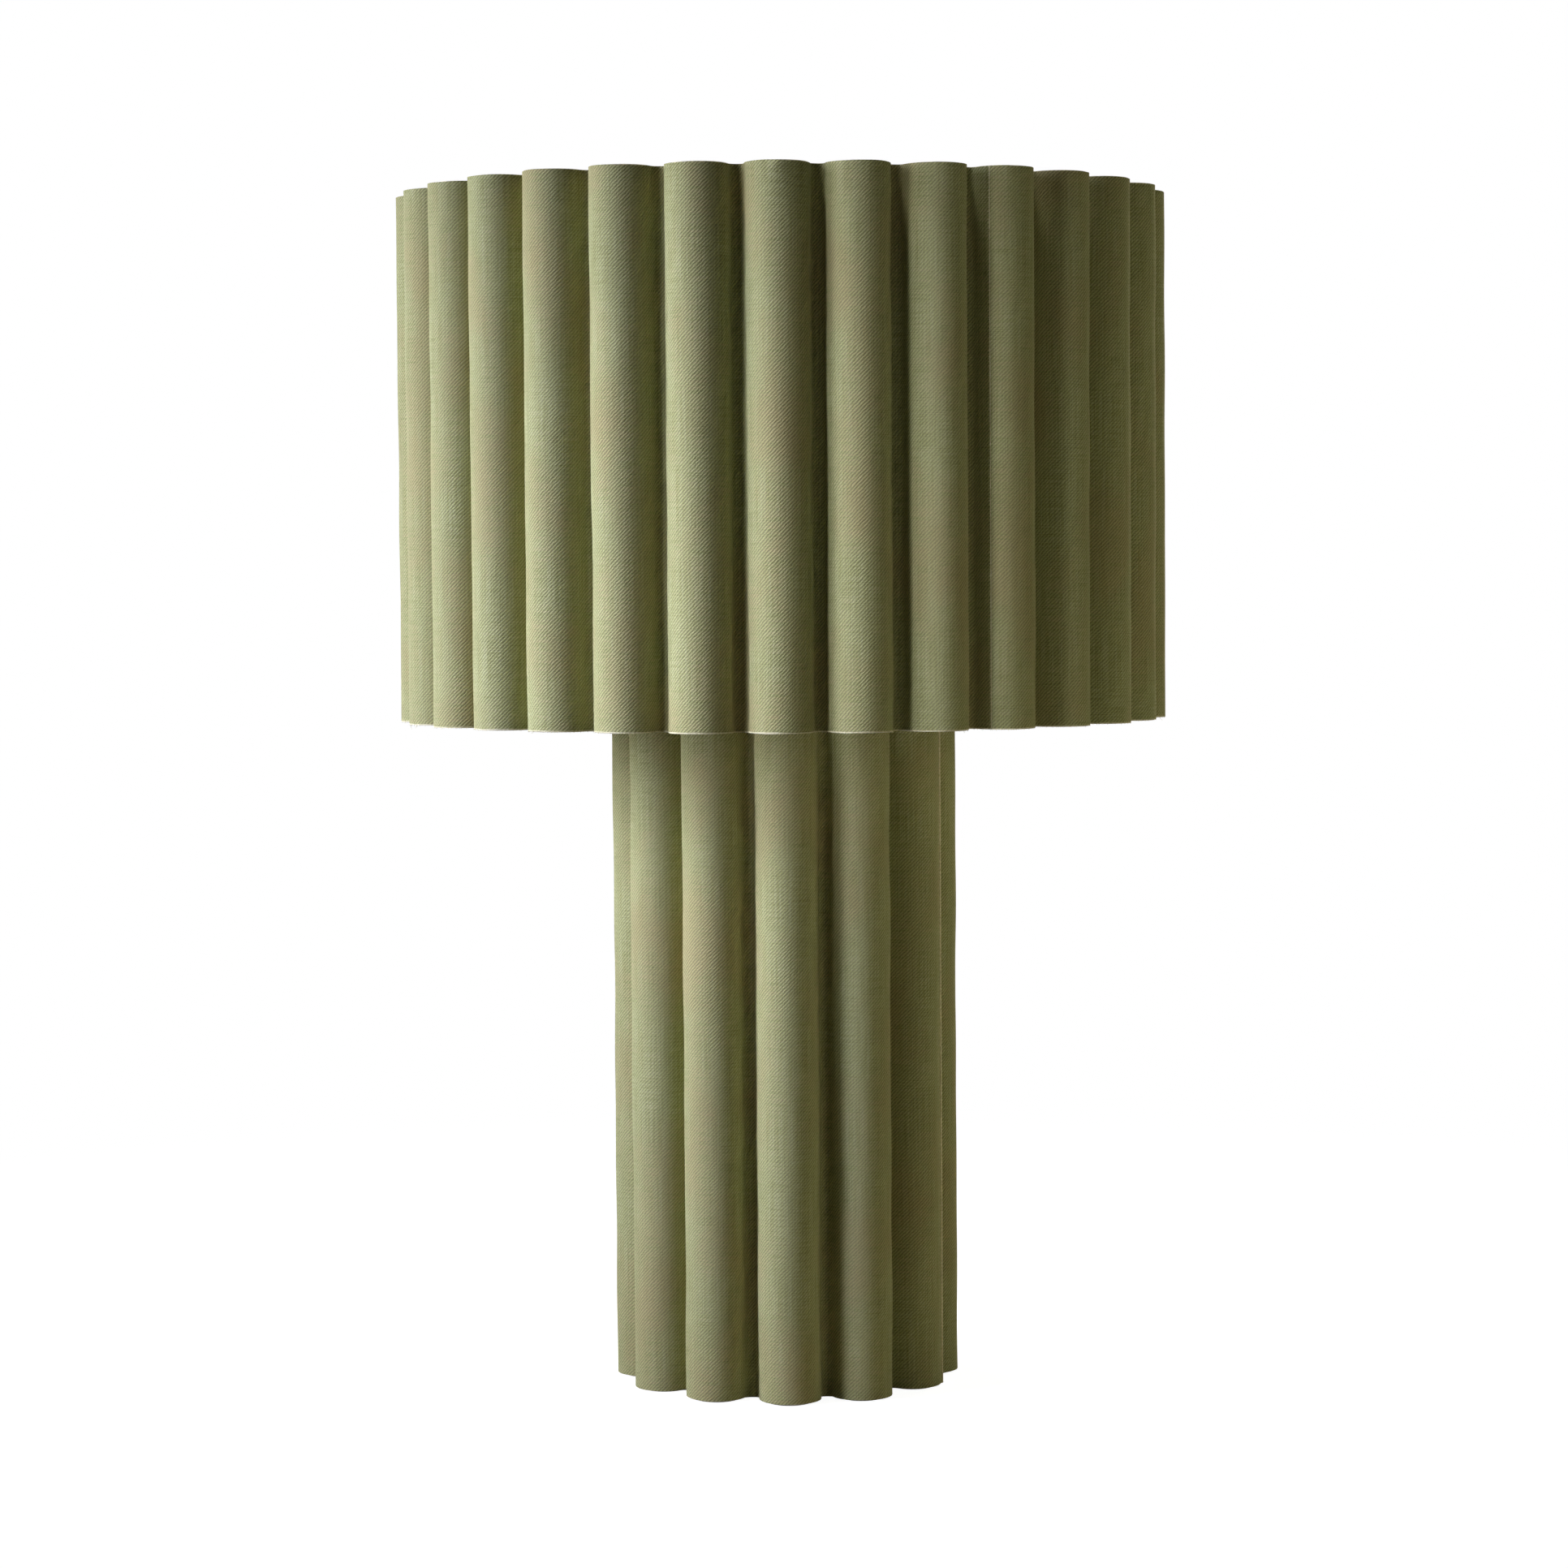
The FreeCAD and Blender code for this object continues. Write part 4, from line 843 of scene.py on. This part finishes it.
# %% Cast iron
# Sand cast and blacked: the grains of the mould leave a pebbled skin.
iron, tree = new_finish("sand_cast_iron")
spot = add_node(tree, "ShaderNodeTexCoord").outputs["Object"]
sand = add_node(tree, "ShaderNodeTexNoise", {"Vector": spot, "Scale": 1 / (1.2 * MM), "Detail": 4.0})
tone = add_node(
    tree, "ShaderNodeValToRGB", {"Fac": sand.outputs["Fac"]}, stops=((0, "#262628"), (1, "#4A4746")))
pebbled = add_node(tree, "ShaderNodeBump", {"Height": sand.outputs["Fac"], "Strength": 0.8, "Distance": 0.4 * MM})
shader = add_node(
    tree, "ShaderNodeBsdfPrincipled",
    {"Base Color": tone.outputs[0], "Metallic": 0.5, "Roughness": 0.68, "Normal": pebbled.outputs[0]})
show_finish(tree, shader)

# %% [markdown]
# The boards at both ends of the column are birch plywood. Plies lie flat, so bands along z cross every cut edge, and
# a noise stretched along x draws the grain of the face.

# %% Birch plywood
# Glued plies 1.4 mm thick: their ends alternate pale and brown on every edge, and the face shows long grain.
PLY = 1.4 * MM
plywood, tree = new_finish("birch_plywood")
spot = add_node(tree, "ShaderNodeTexCoord").outputs["Object"]
plies = add_node(
    tree, "ShaderNodeTexWave", {"Vector": spot, "Scale": WAVE_REPEAT / (2 * PLY), "Distortion": 0.3},
    wave_type="BANDS", bands_direction="Z")
growth = add_node(tree, "ShaderNodeMapping", {"Vector": spot, "Scale": (1 / (70 * MM), 1 / (1.6 * MM), 1 / (3 * MM))})
grain = add_node(tree, "ShaderNodeTexNoise", {"Vector": growth.outputs[0], "Scale": 1.0, "Detail": 4.0})
face = add_node(
    tree, "ShaderNodeValToRGB", {"Fac": grain.outputs["Fac"]}, stops=((0.3, "#C79F6C"), (0.75, "#E3C79B")))
ends = add_node(tree, "ShaderNodeMapRange", {"Value": plies.outputs["Fac"], "To Min": 0.62, "To Max": 1.0})
layered = add_node(
    tree, "ShaderNodeMix", {"Factor": 1.0, 6: face.outputs[0], 7: ends.outputs[0]},
    data_type="RGBA", blend_type="MULTIPLY")
shader = add_node(
    tree, "ShaderNodeBsdfPrincipled", {"Base Color": layered.outputs[2], "Roughness": 0.62})
show_finish(tree, shader)

# %% [markdown]
# The holder's body, the switch knob and the bulb's insulator are pressed from phenolic resin, which stands heat. The
# pieces are small and dark, so one fine noise for the filler is enough.

# %% Black phenolic
# Hot-pressed moulding resin: near black with brown flecks of filler and a dull gloss.
phenolic, tree = new_finish("black_phenolic")
spot = add_node(tree, "ShaderNodeTexCoord").outputs["Object"]
filler = add_node(tree, "ShaderNodeTexNoise", {"Vector": spot, "Scale": 1 / (0.8 * MM), "Detail": 3.0})
fleck = add_node(
    tree, "ShaderNodeValToRGB", {"Fac": filler.outputs["Fac"]}, stops=((0.5, "#1A1714"), (0.8, "#3A2E24")))
pressed = add_node(tree, "ShaderNodeMapRange", {"Value": filler.outputs["Fac"], "To Min": 0.3, "To Max": 0.45})
shader = add_node(
    tree, "ShaderNodeBsdfPrincipled", {"Base Color": fleck.outputs[0], "Roughness": pressed.outputs[0]})
show_finish(tree, shader)

# %% [markdown]
# The shade's rings and spider are steel wire under a baked powder paint. Its dimpled skin is too shallow to model, so
# it is a bump.

# %% White powder coat
# Baked paint on steel wire: warm white, with the shallow orange-peel skin that powder leaves as it melts.
powder, tree = new_finish("white_powder_coat")
spot = add_node(tree, "ShaderNodeTexCoord").outputs["Object"]
peel = add_node(tree, "ShaderNodeTexNoise", {"Vector": spot, "Scale": 1 / (0.9 * MM), "Detail": 1.0})
tone = add_node(
    tree, "ShaderNodeValToRGB", {"Fac": peel.outputs["Fac"]}, stops=((0, "#DAD6CA"), (1, "#EDEAE0")))
skin = add_node(tree, "ShaderNodeBump", {"Height": peel.outputs["Fac"], "Strength": 0.25, "Distance": 0.15 * MM})
shader = add_node(
    tree, "ShaderNodeBsdfPrincipled",
    {"Base Color": tone.outputs[0], "Roughness": 0.42, "Normal": skin.outputs[0]})
show_finish(tree, shader)

# %% [markdown]
# Inside the holder's shell a rolled sleeve of fibre card keeps the metal from the terminals. Its fibres lie round the
# roll, so the noise is squeezed along z as for the brass.

# %% Insulating card
# Pressed fibre card rolled into a sleeve: brown, dull, with flecks that lie round the roll.
card, tree = new_finish("fibre_card")
spot = add_node(tree, "ShaderNodeTexCoord").outputs["Object"]
rolled = add_node(tree, "ShaderNodeMapping", {"Vector": spot, "Scale": (1 / (3 * MM), 1 / (3 * MM), 1 / (0.5 * MM))})
pulp = add_node(tree, "ShaderNodeTexNoise", {"Vector": rolled.outputs[0], "Scale": 1.0, "Detail": 4.0})
tone = add_node(
    tree, "ShaderNodeValToRGB", {"Fac": pulp.outputs["Fac"]}, stops=((0.3, "#86694A"), (0.7, "#A98C66")))
shader = add_node(
    tree, "ShaderNodeBsdfPrincipled", {"Base Color": tone.outputs[0], "Roughness": 0.85, "Specular IOR Level": 0.2})
show_finish(tree, shader)

# %% [markdown]
# The bulb's cap and the screw shell that takes it are drawn from thin aluminium sheet. Drawing leaves faint marks that
# run round, again one noise squeezed along z.

# %% Bright aluminium
# Thin rolled sheet, drawn over a form: silvery, with faint marks running round.
MARK, MARK_DRIFT = 0.4 * MM, 40  # the drift is per metre, as for the brass
aluminium, tree = new_finish("bright_drawn_aluminium")
spot = add_node(tree, "ShaderNodeTexCoord").outputs["Object"]
drawn = add_node(tree, "ShaderNodeMapping", {"Vector": spot, "Scale": (MARK_DRIFT, MARK_DRIFT, 1 / MARK)})
marks = add_node(tree, "ShaderNodeTexNoise", {"Vector": drawn.outputs[0], "Scale": 1.0, "Detail": 2.0})
tone = add_node(
    tree, "ShaderNodeValToRGB", {"Fac": marks.outputs["Fac"]}, stops=((0, "#C6C7C9"), (1, "#E2E3E4")))
gloss = add_node(tree, "ShaderNodeMapRange", {"Value": marks.outputs["Fac"], "To Min": 0.16, "To Max": 0.34})
shader = add_node(
    tree, "ShaderNodeBsdfPrincipled", {"Base Color": tone.outputs[0], "Metallic": 1.0, "Roughness": gloss.outputs[0]})
show_finish(tree, shader)

# %% [markdown]
# The bulb's screw cap is a thin cup of this sheet with the thread rolled into its wall, a soft wave that climbs
# 3.6 mm in each turn. It could be spun from a profile. Here a plain tube is cut into fine rings and each point is
# pressed in along the helix, which is what the rolling tool does. Foot and lip are turned in a little.

# %% Screw cap of the bulb
CAP_RADIUS, CAP_LOW, CAP_HIGH, CAP_WALL = 13.2 * MM, 435.9 * MM, 452.9 * MM, 0.19 * MM
CAP_SIDES, CAP_CUTS = 72, 41
SCREW_RISE, SCREW_DEPTH = 3.63 * MM, 0.7 * MM
CAP_COLLAR, CAP_TURN, FOOT_TURN, LIP_TURN = 2.4 * MM, 1.2 * MM, 0.3 * MM, 0.45 * MM
clear_selection()
bpy.ops.mesh.primitive_cylinder_add(
    vertices=CAP_SIDES, radius=CAP_RADIUS, depth=CAP_HIGH - CAP_LOW, end_fill_type="NOTHING",
    location=(0, 0, (CAP_LOW + CAP_HIGH) / 2))
screw_cap = bpy.context.object
screw_cap.name = screw_cap.data.name = "bulb_screw_cap"
cut_into_rings(screw_cap, CAP_CUTS)
for point in screw_cap.data.vertices:
    above, below = point.co.z - CAP_LOW, CAP_HIGH - point.co.z
    wave = 0.5 - 0.5 * math.cos(2 * math.pi * above / SCREW_RISE - math.atan2(point.co.y, point.co.x))
    run_out = min(1, above / CAP_TURN) * min(1, max(0, below - CAP_COLLAR) / CAP_TURN)
    foot, lip = (max(0, 1 - distance / CAP_TURN) ** 2 for distance in (above, below))
    inwards = SCREW_DEPTH * wave * run_out + FOOT_TURN * foot + LIP_TURN * lip
    point.co.x *= 1 - inwards / CAP_RADIUS
    point.co.y *= 1 - inwards / CAP_RADIUS
give_thickness(screw_cap, CAP_WALL, aluminium, aluminium)
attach(screw_cap, "bulb")
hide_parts("bulb_cap")

# %% [markdown]
# The bulb is frosted: its glass is etched, so light passes but no picture does. Half transmission and a high roughness
# stand for that, without a second wall that would have to be traced.

# %% Frosted glass
# Blown glass etched inside: milky, letting light through but no picture, with a very fine grain.
frosted, tree = new_finish("frosted_glass")
spot = add_node(tree, "ShaderNodeTexCoord").outputs["Object"]
etch = add_node(tree, "ShaderNodeTexNoise", {"Vector": spot, "Scale": 1 / (0.7 * MM), "Detail": 2.0})
milk = add_node(tree, "ShaderNodeMapRange", {"Value": etch.outputs["Fac"], "To Min": 0.42, "To Max": 0.58})
tone = add_node(
    tree, "ShaderNodeValToRGB", {"Fac": etch.outputs["Fac"]}, stops=((0, "#EDEBE3"), (1, "#F7F6F1")))
shader = add_node(
    tree, "ShaderNodeBsdfPrincipled",
    {"Base Color": tone.outputs[0], "Roughness": milk.outputs[0], "IOR": 1.5, "Transmission Weight": 0.45})
show_finish(tree, shader)

# %% [markdown]
# Shade and column are both stiffened by a fluted styrene sheet, seen only from below and above. Heat yellows it in
# slow patches, which a wide noise gives, and a fine one adds the grain of the rollers.

# %% Styrene liner
# Calendered lampshade sheet, the stiff backing under the cloth: cream white, smooth, with a slight grain.
styrene, tree = new_finish("cream_styrene_sheet")
spot = add_node(tree, "ShaderNodeTexCoord").outputs["Object"]
grain = add_node(tree, "ShaderNodeTexNoise", {"Vector": spot, "Scale": 1 / (1.1 * MM), "Detail": 2.0})
yellowed = add_node(tree, "ShaderNodeTexNoise", {"Vector": spot, "Scale": 1 / (90 * MM), "Detail": 2.0})
tone = add_node(
    tree, "ShaderNodeValToRGB", {"Fac": yellowed.outputs["Fac"]}, stops=((0.35, "#E4DDC8"), (0.65, "#EEE9DA")))
pressed = add_node(tree, "ShaderNodeBump", {"Height": grain.outputs["Fac"], "Strength": 0.2, "Distance": 0.1 * MM})
shader = add_node(
    tree, "ShaderNodeBsdfPrincipled",
    {"Base Color": tone.outputs[0], "Roughness": 0.5, "Specular IOR Level": 0.35, "Normal": pressed.outputs[0]})
show_finish(tree, shader)

# %% [markdown]
# ## Handing over
#
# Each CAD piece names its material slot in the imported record, so one table from slot to finish dresses them all.

# %% Give every CAD piece its finish
FINISHES = {
    "linen_green": linen, "liner_white": styrene, "board_ply": plywood, "felt_dark": felt, "weight_iron": iron,
    "zinc_steel": zinc, "brass_satin": brass, "black_plastic": phenolic, "white_wire": powder, "card_sleeve": card,
    "aluminium_thin": aluminium, "frosted_glass": frosted,
}
for subpart in frame["record"]["subparts"]:
    for place in frame["nodes"][subpart["node"]].material_slots:
        place.material = FINISHES[subpart["material_slot"]]
